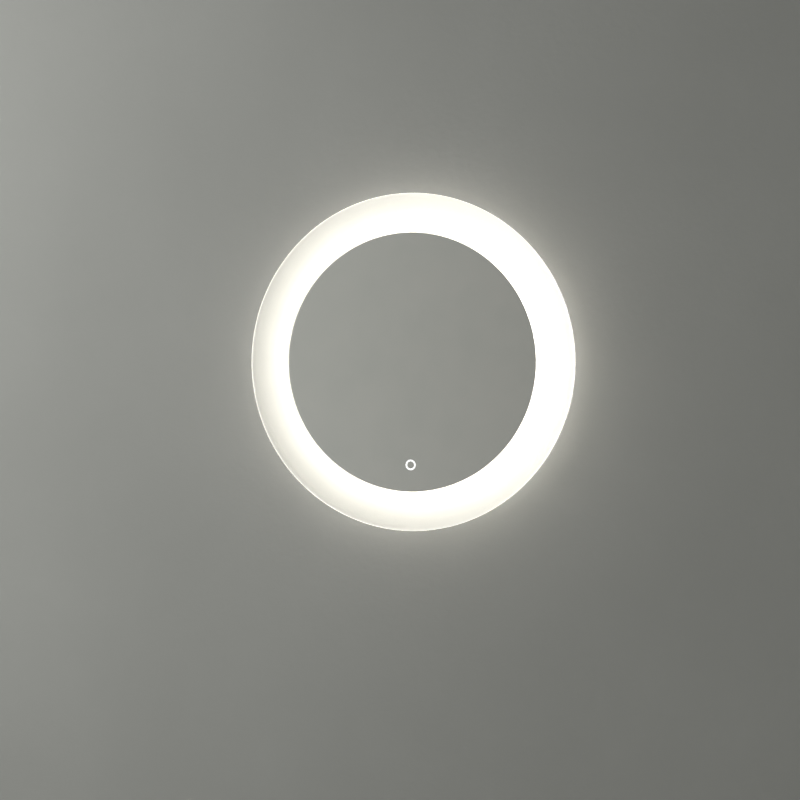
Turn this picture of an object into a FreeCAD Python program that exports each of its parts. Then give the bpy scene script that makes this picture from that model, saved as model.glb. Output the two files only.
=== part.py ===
import FreeCAD, Part
import math
import os
import re

import Sketcher

# Lighted round bathroom mirror. Millimetres. X to the viewer's right, +Z up, and the
# room is on the -Y side. The origin is on the wall plane, midway between the two screw
# holes of the wall rail. "Depth" is the distance from the wall towards the room (-Y).
# Unless a section says otherwise, x and z are taken from the centre of the glass.

doc = FreeCAD.newDocument("LightedMirror")

SIZES = (
    # hanging
    ("hang_setback", 80.0),
    ("wall_gap", 8.0),
    ("rail_thickness", 1.5),
    ("bend_radius", 1.0),
    ("wall_rail_length", 240.0),
    ("wall_screw_spacing", 200.0),
    ("wall_screw_hole_radius", 2.75),
    ("wall_leg_below", 12.0),
    ("wall_step_height", 10.0),
    ("hook_depth", 4.0),
    ("hook_height", 16.0),
    ("hook_engagement", 13.0),
    ("hook_play", 0.5),
    ("hanger_length", 220.0),
    ("hanger_leg", 20.0),
    ("rivet_spacing", 60.0),
    ("rivet_radius", 2.0),
    ("rivet_head_radius", 4.0),
    ("rivet_head_height", 1.4),
    ("rivet_tail_radius", 3.2),
    ("rivet_tail_height", 2.4),
    ("bumper_radius", 8.0),
    ("bumper_x", 120.0),
    ("bumper_drop", 140.0),
    ("rubber_edge", 1.0),
    # glass and what is bonded to it
    ("glass_radius", 300.0),
    ("glass_thickness", 5.0),
    ("arris", 1.2),
    ("frosted_width", 70.0),
    ("silvering_thickness", 0.2),
    ("film_thickness", 0.2),
    ("film_margin", 1.0),
    ("icon_outer_radius", 9.5),
    ("icon_inner_radius", 6.0),
    ("tape_thickness", 1.0),
    ("tape_margin", 2.0),
    # chassis ring, diffuser and light strip
    ("chassis_setback", 14.0),
    ("chassis_depth", 24.4),
    ("chassis_wall", 1.6),
    ("flange_width", 16.0),
    ("lip_height", 2.0),
    ("lip_thickness", 1.2),
    ("fit_gap", 0.3),
    ("diffuser_height", 8.0),
    ("diffuser_wall", 1.6),
    ("strip_width", 10.0),
    ("strip_thickness", 0.3),
    ("adhesive", 0.25),
    ("strip_gap_angle", 5.0),
    ("exit_angle", 210.0),
    ("led_pitch", 8.33),
    ("led_length", 3.5),
    ("led_width", 2.8),
    ("led_height", 0.8),
    ("connector_length", 24.0),
    ("connector_height", 4.2),
    ("connector_margin", 0.5),
    ("bush_flange_radius", 4.0),
    ("bush_flange", 1.2),
    ("bush_wall", 1.0),
    # back panel
    ("panel_inset", 4.0),
    ("panel_thickness", 1.2),
    ("panel_screw_inset", 10.0),
    ("panel_screw_count", 8),
    ("panel_screw_angle", 22.5),
    ("screw_radius", 1.5),
    ("screw_head_radius", 3.0),
    ("screw_head_height", 2.0),
    ("screw_length", 5.0),
    ("hole_clearance", 0.2),
    # light driver
    ("driver_x", 10.0),
    ("driver_z", 60.0),
    ("driver_length", 140.0),
    ("driver_height", 50.0),
    ("driver_base_depth", 14.0),
    ("driver_lid_depth", 6.0),
    ("driver_wall", 2.0),
    ("driver_ear", 10.0),
    ("post_height", 3.0),
    ("post_radius", 3.0),
    ("board_thickness", 1.6),
    ("board_clearance", 1.0),
    ("core_length", 26.0),
    ("core_height", 11.2),
    ("core_thickness", 8.0),
    ("core_leg", 4.0),
    ("core_offset", 8.0),
    ("winding_overhang", 5.0),
    ("input_capacitor_radius", 5.0),
    ("input_capacitor_length", 16.0),
    ("output_capacitor_radius", 4.0),
    ("output_capacitor_length", 12.0),
    ("input_capacitor_inset", 35.0),
    ("output_capacitor_inset", 28.0),
    ("capacitor_gap", 2.0),
    # mains side
    ("terminal_x", -125.0),
    ("terminal_pole_pitch", 9.0),
    ("terminal_width", 20.0),
    ("terminal_depth", 15.0),
    ("terminal_margin", 1.5),
    ("terminal_well_offset", 5.6),
    ("terminal_well_radius", 2.6),
    ("terminal_well_depth", 6.0),
    ("terminal_screw_radius", 2.2),
    ("terminal_screw_height", 3.0),
    ("wire_entry_depth", 4.0),
    ("wire_height", 6.0),
    ("grommet_z", 10.0),
    ("grommet_bore_radius", 4.0),
    ("grommet_neck_radius", 7.0),
    ("grommet_flange_radius", 10.0),
    ("grommet_lip", 2.4),
    ("earth_x", -88.0),
    ("earth_z", 14.0),
    ("tag_thickness", 0.8),
    ("tag_ring_radius", 4.0),
    ("tag_barrel_length", 7.0),
    ("tag_barrel_width", 3.2),
    ("tag_overlap", 0.5),
    # touch sensor
    ("sensor_clearance", 4.5),
    ("sensor_length", 46.0),
    ("sensor_height", 26.0),
    ("sensor_depth", 12.0),
    ("sensor_wall", 1.5),
    ("sensor_ledge", 2.0),
    ("sensor_lip", 1.0),
    ("sensor_lip_inset", 4.0),
    ("sensor_board_thickness", 1.2),
    ("sensor_led_height", 0.8),
    ("sensor_led_size", 2.0),
    ("guide_radius", 11.0),
    ("guide_thickness", 3.4),
    ("guide_led_gap", 0.4),
    # internal leads
    ("mains_wire_radius", 1.3),
    ("output_lead_radius", 2.0),
    ("strip_lead_radius", 1.5),
    ("lead_clearance", 0.15),
    ("lead_height", 3.6),
    ("lead_inset", 18.8),
    ("lead_stub", 24.0),
    ("lead_tail", 1.0),
    ("lead_gap", 0.5),
    ("wire_stub", 16.0),
    ("clip_inset", 50.0),
    ("clip_run", 52.0),
    ("clip_run_middle", -18.0),
    ("clip_spacing", 16.0),
    ("clip_length", 8.0),
    ("clip_margin", 2.0),
    ("clip_clearance", 0.5),
)

sheet = doc.addObject("Spreadsheet::Sheet", "Sizes")
for row, (alias, value) in enumerate(SIZES, start=1):
    sheet.set(f"A{row}", alias)
    sheet.set(f"B{row}", str(value))
    sheet.setAlias(f"B{row}", alias)
doc.recompute()

# Depths from the wall, radii from the glass centre and heights above the wall screws
# that several pieces share, each worked out from the sheet.
PLACES = (
    ("panel_front", "wall_gap + panel_thickness"),
    ("chassis_front", "panel_front + chassis_depth"),
    ("tape_front", "chassis_front + tape_thickness"),
    ("film_front", "tape_front + film_thickness"),
    ("silver_front", "film_front + silvering_thickness"),
    ("strip_depth", "panel_front + chassis_depth / 2"),
    ("silvering_radius", "glass_radius - frosted_width"),
    ("film_radius", "silvering_radius - film_margin"),
    ("chassis_radius", "silvering_radius - chassis_setback"),
    ("flange_inner_radius", "chassis_radius - flange_width"),
    ("icon_drop", "flange_inner_radius - sensor_clearance - sensor_height / 2"),
    ("hang_height", "flange_inner_radius - hang_setback"),
    ("clip_x", "flange_inner_radius - clip_inset"),
    ("panel_radius", "chassis_radius - panel_inset"),
    ("panel_screw_circle", "chassis_radius - panel_screw_inset"),
    ("strip_radius", "chassis_radius + adhesive"),
    ("led_radius", "strip_radius + strip_thickness"),
    ("connector_radius", "led_radius + fit_gap"),
    ("led_clear_angle", "strip_gap_angle / 2 + 180 / pi * connector_length / 2 / chassis_radius"),
    ("led_span", "360 - led_clear_angle * 2"),
    ("led_count", "floor(led_span * pi / 180 * led_radius / led_pitch)"),
    ("hook_top", "wall_step_height + hook_height"),
    ("hanger_top", "hook_top + rail_thickness + hanger_leg"),
    ("rivet_height", "hook_top + rail_thickness + hanger_leg / 2"),
    ("driver_split", "panel_front + driver_base_depth"),
    ("driver_left", "driver_x - driver_length / 2"),
    ("driver_right", "driver_x + driver_length / 2"),
    ("board_back", "panel_front + driver_wall + post_height"),
    ("board_front", "board_back + board_thickness"),
    ("core_x", "driver_x + core_offset"),
    ("wire_depth", "panel_front + wire_height"),
    ("terminal_front", "panel_front + terminal_depth"),
    ("guide_back", "film_front - guide_thickness"),
    ("sensor_board_front", "guide_back - guide_led_gap - sensor_led_height"),
    ("sensor_board_back", "sensor_board_front - sensor_board_thickness"),
    ("sensor_back", "tape_front - sensor_depth"),
    ("sensor_lead_depth", "sensor_back + sensor_wall + output_lead_radius + lead_gap"),
    ("lead_depth", "panel_front + lead_height"),
)
NAMES = {alias for alias, value in SIZES} | {alias for alias, text in PLACES}
PLACE_NAMES = {alias for alias, text in PLACES}


def formula(text):
    """Point the names in a formula at the sheet or at the shared places."""
    def point(match):
        word = match.group(0)
        if word not in NAMES:
            return word
        return ("Places." if word in PLACE_NAMES else "Sizes.") + word
    return re.sub(r"[a-z_]\w*", point, text)


places = doc.addObject("App::VarSet", "Places")
for alias, text in PLACES:
    places.addProperty("App::PropertyFloat", alias, "Places")
    places.setExpression(alias, formula(text))
doc.recompute()

ROOM = "1"
WALL = "-1"


def number(text):
    """The present value of a formula."""
    return float(places.evalExpression(formula(text)))


def new_body(name):
    body = doc.addObject("PartDesign::Body", name)
    body.Label = name
    body.AllowCompound = True
    return body


def origin_feature(body, role):
    return next(item for item in body.Origin.OriginFeatures if item.Role == role)


def new_sketch(body, role, right="0", up="0", out="0"):
    """A sketch on one of the body's planes, shifted in the sketch's own directions."""
    sketch = body.newObject("Sketcher::SketchObject", body.Name + "_sketch")
    sketch.AttachmentSupport = [(origin_feature(body, role), "")]
    sketch.MapMode = "FlatFace"
    for axis, text in (("x", right), ("y", up), ("z", out)):
        sketch.setExpression("AttachmentOffset.Base." + axis, formula(text))
    return sketch


def pin(sketch, geometry, point, x, y):
    """Hold a point of a sketch at x, y from the sketch's own origin."""
    for kind, text in (("DistanceX", x), ("DistanceY", y)):
        constraint = Sketcher.Constraint(kind, -1, 1, geometry, point, number(text))
        index = sketch.addConstraint(constraint)
        sketch.setExpression(f"Constraints[{index}]", formula(text))


def outline(sketch, corners):
    """A closed outline of straight lines through the corners."""
    spots = [FreeCAD.Vector(number(x), number(y), 0) for x, y in corners]
    first = sketch.GeometryCount
    for index, spot in enumerate(spots):
        following = spots[(index + 1) % len(spots)]
        sketch.addGeometry(Part.LineSegment(spot, following), False)
    for index in range(len(spots)):
        following = first + (index + 1) % len(spots)
        sketch.addConstraint(Sketcher.Constraint("Coincident", first + index, 2, following, 1))
    for index, (x, y) in enumerate(corners):
        pin(sketch, first + index, 1, x, y)


def rectangle(sketch, x, y, width, height):
    """A rectangle centred on x, y."""
    left = f"{x} - ({width}) / 2"
    right = f"{x} + ({width}) / 2"
    low = f"{y} - ({height}) / 2"
    high = f"{y} + ({height}) / 2"
    outline(sketch, ((left, low), (right, low), (right, high), (left, high)))


def circle(sketch, x, y, radius):
    centre = FreeCAD.Vector(number(x), number(y), 0)
    shape = Part.Circle(centre, FreeCAD.Vector(0, 0, 1), number(radius))
    index = sketch.addGeometry(shape, False)
    pin(sketch, index, 3, x, y)
    constraint = sketch.addConstraint(Sketcher.Constraint("Radius", index, number(radius)))
    sketch.setExpression(f"Constraints[{constraint}]", formula(radius))


def pad(body, sketch, length, symmetric=False):
    """Thicken a sketch along its normal: a sketch on XZ grows towards the room."""
    feature = body.newObject("PartDesign::Pad", body.Name + "_pad")
    feature.Profile = sketch
    feature.SideType = "Symmetric" if symmetric else "One side"
    feature.setExpression("Length", formula(length))
    sketch.Visibility = False
    return feature


def pocket(body, sketch, length, symmetric=False, along_normal=False):
    """Cut a sketch against its normal: a sketch on XZ cuts towards the wall."""
    feature = body.newObject("PartDesign::Pocket", body.Name + "_pocket")
    feature.Profile = sketch
    feature.SideType = "Symmetric" if symmetric else "One side"
    feature.Reversed = along_normal
    feature.setExpression("Length", formula(length))
    return feature


def turn(body, corners, x="0", z="0", angle="360"):
    """Turn an outline of (radius, depth) corners about the depth line through x, z."""
    sketch = new_sketch(body, "XY_Plane", right=x, out=z)
    outline(sketch, [(radius, f"-({depth})") for radius, depth in corners])
    feature = body.newObject("PartDesign::Revolution", body.Name + "_turn")
    feature.Profile = sketch
    feature.ReferenceAxis = (sketch, ["V_Axis"])
    feature.Midplane = True
    feature.setExpression("Angle", formula(angle))
    return feature


def ring_pattern(body, originals, count, angle):
    """Repeat features round the glass centre, anticlockwise as seen from the room."""
    feature = body.newObject("PartDesign::PolarPattern", body.Name + "_pattern")
    feature.Originals = originals
    feature.Axis = (origin_feature(body, "Y_Axis"), [""])
    feature.Reversed = True
    feature.setExpression("Angle", formula(angle))
    feature.setExpression("Occurrences", formula(count))
    body.Tip = feature
    return feature


def on_glass_centre(item, spin="0"):
    """Set a piece on the glass centre, turned anticlockwise as seen from the room."""
    item.Placement = FreeCAD.Placement(
        FreeCAD.Vector(0, 0, 0), FreeCAD.Rotation(FreeCAD.Vector(0, -1, 0), 1)
    )
    item.setExpression("Placement.Base.z", formula("-hang_height"))
    item.setExpression("Placement.Rotation.Angle", formula(spin))


def plate(name, thickness, depth, draw):
    """A flat piece whose outline draw(sketch) gives, from depth towards the room."""
    body = new_body(name)
    sketch = new_sketch(body, "XZ_Plane", out=depth)
    draw(sketch)
    pad(body, sketch, thickness)
    on_glass_centre(body)
    return body


def edge_names(body, chosen):
    """Names of the body's edges for which chosen(edge) is true."""
    doc.recompute()
    return [f"Edge{n}" for n, edge in enumerate(body.Shape.Edges, start=1) if chosen(edge)]


def round_edges(body, radius, chosen):
    names = edge_names(body, chosen)
    feature = body.newObject("PartDesign::Fillet", body.Name + "_fillet")
    feature.Base = (feature.BaseFeature, names)
    feature.setExpression("Radius", formula(radius))
    return feature


def runs_along(edge, axis):
    """Whether a straight edge runs along an axis of the model."""
    if not isinstance(edge.Curve, Part.Line):
        return False
    return abs(edge.Curve.Direction.dot(axis)) > 0.999


def screw(body, x, z, seat, side, radius, head_radius, head_height, length):
    """A pan-head screw with a cross recess. The head is on the given side of its seat."""
    top = f"{seat} + {side} * {head_height}"
    shoulder = f"{seat} + {side} * {head_height} * 0.6"
    crown = f"{head_radius} * 0.7"
    tip = f"{seat} - {side} * ({length})"
    shaft = turn(
        body,
        (
            ("0", top),
            (crown, top),
            (head_radius, shoulder),
            (head_radius, seat),
            (radius, seat),
            (radius, tip),
            ("0", tip),
        ),
        x,
        z,
    )
    sketch = new_sketch(body, "XZ_Plane", right=x, up=z, out=top)
    arm = f"({head_radius} * 0.6)"
    half_slot = f"({head_radius} * 0.14)"
    corners = []
    for a, b in ((1, 1), (-1, 1), (-1, -1), (1, -1)):
        corner = (f"{a} * {half_slot}", f"{b} * {half_slot}")
        beside = (f"{a} * {arm}", corner[1])
        above = (corner[0], f"{b} * {arm}")
        corners += [beside, corner, above] if a * b > 0 else [above, corner, beside]
    outline(sketch, corners)
    recess_depth = f"{head_height} * 0.5"
    recess = pocket(body, sketch, recess_depth, along_normal=side == WALL)
    return [shaft, recess]


# ---- glass -------------------------------------------------------------------------


def mirror_glass():
    """Float glass disc with a ground and polished arris on both faces."""
    body = plate(
        "mirror_glass",
        "glass_thickness",
        "silver_front",
        lambda sketch: circle(sketch, "0", "0", "glass_radius"),
    )
    names = edge_names(body, lambda edge: isinstance(edge.Curve, Part.Circle))
    feature = body.newObject("PartDesign::Chamfer", "glass_arris")
    feature.Base = (feature.BaseFeature, names)
    feature.setExpression("Size", formula("arris"))


def mirror_silvering():
    """Silver and paint on the back of the glass, cleared to a ring at the touch mark."""
    def draw(sketch):
        circle(sketch, "0", "0", "silvering_radius")
        circle(sketch, "0", "-icon_drop", "icon_outer_radius")
        circle(sketch, "0", "-icon_drop", "icon_inner_radius")
    plate("mirror_silvering", "silvering_thickness", "film_front", draw)


def safety_film():
    """Film that holds broken glass, cut away over the light guide."""
    def draw(sketch):
        circle(sketch, "0", "0", "film_radius")
        circle(sketch, "0", "-icon_drop", "guide_radius + hole_clearance")
    plate("safety_film", "film_thickness", "tape_front", draw)


def bonding_tape():
    """Foam tape ring between the film and the front flange of the chassis."""
    inner = "flange_inner_radius + tape_margin"
    outer = "chassis_radius - tape_margin"
    corners = (
        (inner, "chassis_front"),
        (outer, "chassis_front"),
        (outer, "tape_front"),
        (inner, "tape_front"),
    )
    body = new_body("bonding_tape")
    turn(body, corners)
    on_glass_centre(body)


# ---- chassis and light -------------------------------------------------------------


def chassis_ring():
    """Aluminium channel rolled to a ring, open inwards, with a lip at each outer edge."""
    body = new_body("chassis_ring")
    outer = "chassis_radius"
    lip = "chassis_radius + lip_height"
    inner = "chassis_radius - chassis_wall"
    turn(
        body,
        (
            ("flange_inner_radius", "panel_front"),
            (lip, "panel_front"),
            (lip, "panel_front + lip_thickness"),
            (outer, "panel_front + lip_thickness"),
            (outer, "chassis_front - lip_thickness"),
            (lip, "chassis_front - lip_thickness"),
            (lip, "chassis_front"),
            ("flange_inner_radius", "chassis_front"),
            ("flange_inner_radius", "chassis_front - chassis_wall"),
            (inner, "chassis_front - chassis_wall"),
            (inner, "panel_front + chassis_wall"),
            ("flange_inner_radius", "panel_front + chassis_wall"),
        ),
    )
    # hole for the bush of the strip lead, along the body's own X
    sketch = new_sketch(body, "YZ_Plane", out="chassis_radius + lip_height")
    circle(sketch, "-strip_depth", "0", "strip_lead_radius + bush_wall + hole_clearance")
    pocket(body, sketch, "lip_height + chassis_wall * 2")
    # threaded holes for the panel screws in the back flange
    sketch = new_sketch(body, "XZ_Plane", out="panel_front + chassis_wall")
    angle = "(panel_screw_angle - exit_angle)"
    circle(
        sketch,
        f"panel_screw_circle * cos({angle})",
        f"panel_screw_circle * sin({angle})",
        "screw_radius + hole_clearance / 2",
    )
    hole = pocket(body, sketch, "chassis_wall")
    ring_pattern(body, [hole], "panel_screw_count", "360")
    on_glass_centre(body, "exit_angle")


def opal_diffuser():
    """Opal U-section ring whose two legs sit between the lips of the chassis."""
    body = new_body("opal_diffuser")
    back = "panel_front + lip_thickness + fit_gap"
    front = "chassis_front - lip_thickness - fit_gap"
    inner = "chassis_radius + fit_gap"
    outer = "chassis_radius + diffuser_height"
    turn(
        body,
        (
            (inner, back),
            (outer, back),
            (outer, front),
            (inner, front),
            (inner, f"{front} - diffuser_wall"),
            (f"{outer} - diffuser_wall", f"{front} - diffuser_wall"),
            (f"{outer} - diffuser_wall", f"{back} + diffuser_wall"),
            (inner, f"{back} + diffuser_wall"),
        ),
    )
    on_glass_centre(body)


def led_strip():
    """Flexible strip on its adhesive, with its two ends apart at the lead exit."""
    body = new_body("led_strip")
    back = "strip_depth - strip_width / 2"
    front = "strip_depth + strip_width / 2"
    corners = (
        ("strip_radius", back),
        ("led_radius", back),
        ("led_radius", front),
        ("strip_radius", front),
    )
    turn(body, corners, angle="360 - strip_gap_angle")
    on_glass_centre(body, "exit_angle + 180")


def led_packages():
    """The strip's LEDs, evenly spaced from one end of the strip to the other."""
    body = new_body("led_packages")
    half = "led_width / 2"
    sketch = new_sketch(body, "XY_Plane")
    outline(
        sketch,
        (
            ("led_radius", f"-strip_depth - {half}"),
            ("led_radius + led_height", f"-strip_depth - {half}"),
            ("led_radius + led_height", f"-strip_depth + {half}"),
            ("led_radius", f"-strip_depth + {half}"),
        ),
    )
    led = pad(body, sketch, "led_length", symmetric=True)
    ring_pattern(body, [led], "led_count", "led_span")
    on_glass_centre(body, "exit_angle + led_clear_angle")


def strip_connector():
    """Clamp that bridges the ends of the strip, over the bush of its lead."""
    body = new_body("strip_connector")
    sketch = new_sketch(body, "YZ_Plane", out="connector_radius")
    width = "strip_width + connector_margin * 2"
    rectangle(sketch, "-strip_depth", "0", width, "connector_length")
    pad(body, sketch, "connector_height")
    sketch = new_sketch(body, "YZ_Plane", out="connector_radius")
    circle(sketch, "-strip_depth", "0", "bush_flange_radius + hole_clearance")
    seat = "chassis_radius + bush_flange + fit_gap - connector_radius"
    pocket(body, sketch, seat, along_normal=True)
    on_glass_centre(body, "exit_angle")


def lead_bush():
    """Rubber bush in the chassis wall, flanged on both sides, round the strip lead."""
    body = new_body("lead_bush")
    bore = "strip_lead_radius + lead_clearance"
    neck = "strip_lead_radius + bush_wall"
    wall_inner = "chassis_radius - chassis_wall"
    sketch = new_sketch(body, "XY_Plane", up="-strip_depth")
    outline(
        sketch,
        (
            (f"{wall_inner} - bush_flange", bore),
            ("chassis_radius + bush_flange", bore),
            ("chassis_radius + bush_flange", "bush_flange_radius"),
            ("chassis_radius + adhesive", "bush_flange_radius"),
            ("chassis_radius + adhesive", neck),
            (f"{wall_inner} - adhesive", neck),
            (f"{wall_inner} - adhesive", "bush_flange_radius"),
            (f"{wall_inner} - bush_flange", "bush_flange_radius"),
        ),
    )
    feature = body.newObject("PartDesign::Revolution", "bush_turn")
    feature.Profile = sketch
    feature.ReferenceAxis = (sketch, ["H_Axis"])
    feature.Angle = 360
    on_glass_centre(body, "exit_angle")


# ---- back panel --------------------------------------------------------------------


def rivet_places():
    """x of each hanger rivet, evenly spaced about the middle of the hanger."""
    return [f"rivet_spacing * {step}" for step in (-1.5, -0.5, 0.5, 1.5)]


def driver_screw_places():
    return ["driver_left - driver_ear / 2", "driver_right + driver_ear / 2"]


def back_panel():
    """Sheet aluminium disc with the holes for everything that is fixed to it."""
    def draw(sketch):
        circle(sketch, "0", "0", "panel_radius")
        for index in range(int(number("panel_screw_count"))):
            angle = f"(panel_screw_angle + 360 / panel_screw_count * {index})"
            circle(
                sketch,
                f"panel_screw_circle * cos({angle})",
                f"panel_screw_circle * sin({angle})",
                "screw_radius + hole_clearance",
            )
        for x in rivet_places():
            circle(sketch, x, "rivet_height + hang_height", "rivet_radius + hole_clearance / 2")
        for x in driver_screw_places():
            circle(sketch, x, "driver_z", "screw_radius + hole_clearance / 2")
        circle(sketch, "terminal_x", "grommet_z", "grommet_neck_radius + hole_clearance / 2")
        circle(sketch, "terminal_x", "driver_z", "screw_radius + hole_clearance / 2")
        circle(sketch, "earth_x", "earth_z", "screw_radius + hole_clearance / 2")
    plate("back_panel", "panel_thickness", "wall_gap", draw)


def back_panel_screws():
    """Screws from behind, through the panel into the back flange of the chassis."""
    body = new_body("back_panel_screws")
    features = screw(
        body,
        "panel_screw_circle",
        "0",
        "wall_gap",
        WALL,
        "screw_radius",
        "screw_head_radius",
        "screw_head_height",
        "screw_length",
    )
    ring_pattern(body, features, "panel_screw_count", "360")
    on_glass_centre(body, "panel_screw_angle")


def cable_grommet():
    """Rubber grommet that the supply cable passes through."""
    body = new_body("cable_grommet")
    neck = "grommet_neck_radius"
    flange = "grommet_flange_radius"
    bore = "grommet_bore_radius"
    turn(
        body,
        (
            (bore, "wall_gap - grommet_lip"),
            (f"{flange} - rubber_edge", "wall_gap - grommet_lip"),
            (flange, "wall_gap - grommet_lip + rubber_edge"),
            (flange, "wall_gap"),
            (neck, "wall_gap"),
            (neck, "panel_front"),
            (flange, "panel_front"),
            (flange, "panel_front + grommet_lip - rubber_edge"),
            (f"{flange} - rubber_edge", "panel_front + grommet_lip"),
            (bore, "panel_front + grommet_lip"),
        ),
        "terminal_x",
        "grommet_z",
    )
    on_glass_centre(body)


# ---- hanging -----------------------------------------------------------------------


def z_rail(name, length, corners, bends):
    """A folded strip along X. Corners are (depth, z above the wall screws)."""
    body = new_body(name)
    sketch = new_sketch(body, "YZ_Plane")
    outline(sketch, [(f"-({depth})", z) for depth, z in corners])
    pad(body, sketch, length, symmetric=True)
    for radius, spots in bends:
        wanted = [FreeCAD.Vector(0, -number(depth), number(z)) for depth, z in spots]

        def at_bend(edge):
            middle = edge.CenterOfMass
            near = any(middle.distanceToPoint(spot) < 0.01 for spot in wanted)
            return runs_along(edge, FreeCAD.Vector(1, 0, 0)) and near
        round_edges(body, radius, at_bend)
    return body


def holes_through(body, spots, radius, reach):
    sketch = new_sketch(body, "XZ_Plane")
    for x, z in spots:
        circle(sketch, x, z, radius)
    pocket(body, sketch, reach, symmetric=True)


def wall_rail():
    """Rail on the wall: leg with two screw holes, a step, and a hook that points up."""
    outer_hook = "hook_depth + rail_thickness"
    step_top = "wall_step_height + rail_thickness"
    body = z_rail(
        "wall_rail",
        "wall_rail_length",
        (
            ("0", "-wall_leg_below"),
            ("rail_thickness", "-wall_leg_below"),
            ("rail_thickness", "wall_step_height"),
            (outer_hook, "wall_step_height"),
            (outer_hook, "hook_top"),
            ("hook_depth", "hook_top"),
            ("hook_depth", step_top),
            ("0", step_top),
        ),
        (
            ("bend_radius", (("rail_thickness", "wall_step_height"), ("hook_depth", step_top))),
            ("bend_radius * 1.4", (("0", step_top), (outer_hook, "wall_step_height"))),
        ),
    )
    spots = [(f"wall_screw_spacing * {side} / 2", "0") for side in (-1, 1)]
    holes_through(body, spots, "wall_screw_hole_radius", "rail_thickness * 2 + 1")


def hanger_rail():
    """Rail on the panel: leg riveted to it, a step, and a hook that points down."""
    hook_front = "hook_depth - hook_play"
    hook_back = "hook_depth - hook_play - rail_thickness"
    hook_tip = "hook_top - hook_engagement"
    step_top = "hook_top + rail_thickness"
    body = z_rail(
        "hanger_rail",
        "hanger_length",
        (
            (hook_back, hook_tip),
            (hook_front, hook_tip),
            (hook_front, "hook_top"),
            ("wall_gap", "hook_top"),
            ("wall_gap", "hanger_top"),
            ("wall_gap - rail_thickness", "hanger_top"),
            ("wall_gap - rail_thickness", step_top),
            (hook_back, step_top),
        ),
        (
            ("hook_play", ((hook_front, "hook_top"),)),
            ("bend_radius", (("wall_gap - rail_thickness", step_top),)),
            ("bend_radius * 1.4", ((hook_back, step_top), ("wall_gap", "hook_top"))),
        ),
    )
    spots = [(x, "rivet_height") for x in rivet_places()]
    holes_through(body, spots, "rivet_radius + hole_clearance / 2", "wall_gap * 2 + 1")


def hanger_rivets():
    """Blind rivets through the hanger and the panel, with their tails set inside."""
    body = new_body("hanger_rivets")
    seat = "wall_gap - rail_thickness"
    for x in rivet_places():
        turn(
            body,
            (
                ("0", f"{seat} - rivet_head_height"),
                ("rivet_head_radius * 0.6", f"{seat} - rivet_head_height"),
                ("rivet_head_radius", f"{seat} - rivet_head_height * 0.4"),
                ("rivet_head_radius", seat),
                ("rivet_radius", seat),
                ("rivet_radius", "panel_front"),
                ("rivet_tail_radius", "panel_front"),
                ("rivet_tail_radius", "panel_front + rivet_tail_height * 0.7"),
                ("rivet_radius", "panel_front + rivet_tail_height"),
                ("0", "panel_front + rivet_tail_height"),
            ),
            x,
            "rivet_height",
        )


def wall_bumpers():
    """Rubber feet on the lower back of the panel, which rest on the wall."""
    body = new_body("wall_bumpers")
    for side in (-1, 1):
        turn(
            body,
            (
                ("0", "0"),
                ("bumper_radius - rubber_edge", "0"),
                ("bumper_radius", "rubber_edge"),
                ("bumper_radius", "wall_gap"),
                ("0", "wall_gap"),
            ),
            f"bumper_x * {side}",
            "-bumper_drop",
        )
    on_glass_centre(body)


# ---- light driver ------------------------------------------------------------------

DRIVER_WIRES = ("-terminal_pole_pitch / 4", "terminal_pole_pitch / 4")


def upright(edge):
    return runs_along(edge, FreeCAD.Vector(0, 1, 0))


def driver_base():
    """Moulded tray on the panel, with an ear at each end and posts for the board."""
    body = plate(
        "driver_base",
        "driver_base_depth",
        "panel_front",
        lambda sketch: rectangle(
            sketch, "driver_x", "driver_z", "driver_length", "driver_height"
        ),
    )
    round_edges(body, "driver_wall", upright)
    sketch = new_sketch(body, "XZ_Plane", out="driver_split")
    inner_length = "driver_length - driver_wall * 2"
    inner_height = "driver_height - driver_wall * 2"
    rectangle(sketch, "driver_x", "driver_z", inner_length, inner_height)
    pocket(body, sketch, "driver_base_depth - driver_wall")
    # posts under the corners of the board
    sketch = new_sketch(body, "XZ_Plane", out="panel_front + driver_wall")
    inset = "(driver_wall + board_clearance + post_radius)"
    for a in (-1, 1):
        for b in (-1, 1):
            x = f"driver_x + {a} * (driver_length / 2 - {inset})"
            z = f"driver_z + {b} * (driver_height / 2 - {inset})"
            circle(sketch, x, z, "post_radius")
    pad(body, sketch, "post_height")
    # ears for the fixing screws
    sketch = new_sketch(body, "XZ_Plane", out="panel_front")
    for x in driver_screw_places():
        rectangle(sketch, x, "driver_z", "driver_ear", "driver_ear * 1.4")
    pad(body, sketch, "driver_wall")
    sketch = new_sketch(body, "XZ_Plane", out="panel_front + driver_wall")
    for x in driver_screw_places():
        circle(sketch, x, "driver_z", "screw_radius + hole_clearance / 2")
    pocket(body, sketch, "driver_wall")
    # openings for the leads in the two end walls
    sketch = new_sketch(body, "YZ_Plane", out="driver_left")
    for offset in DRIVER_WIRES:
        hole = "mains_wire_radius + lead_clearance"
        circle(sketch, "-wire_depth - driver_wall", f"driver_z + {offset}", hole)
    pocket(body, sketch, "driver_wall", along_normal=True)
    sketch = new_sketch(body, "YZ_Plane", out="driver_right")
    hole = "output_lead_radius + lead_clearance"
    circle(sketch, "-wire_depth - driver_wall", "driver_z", hole)
    pocket(body, sketch, "driver_wall")


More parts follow.
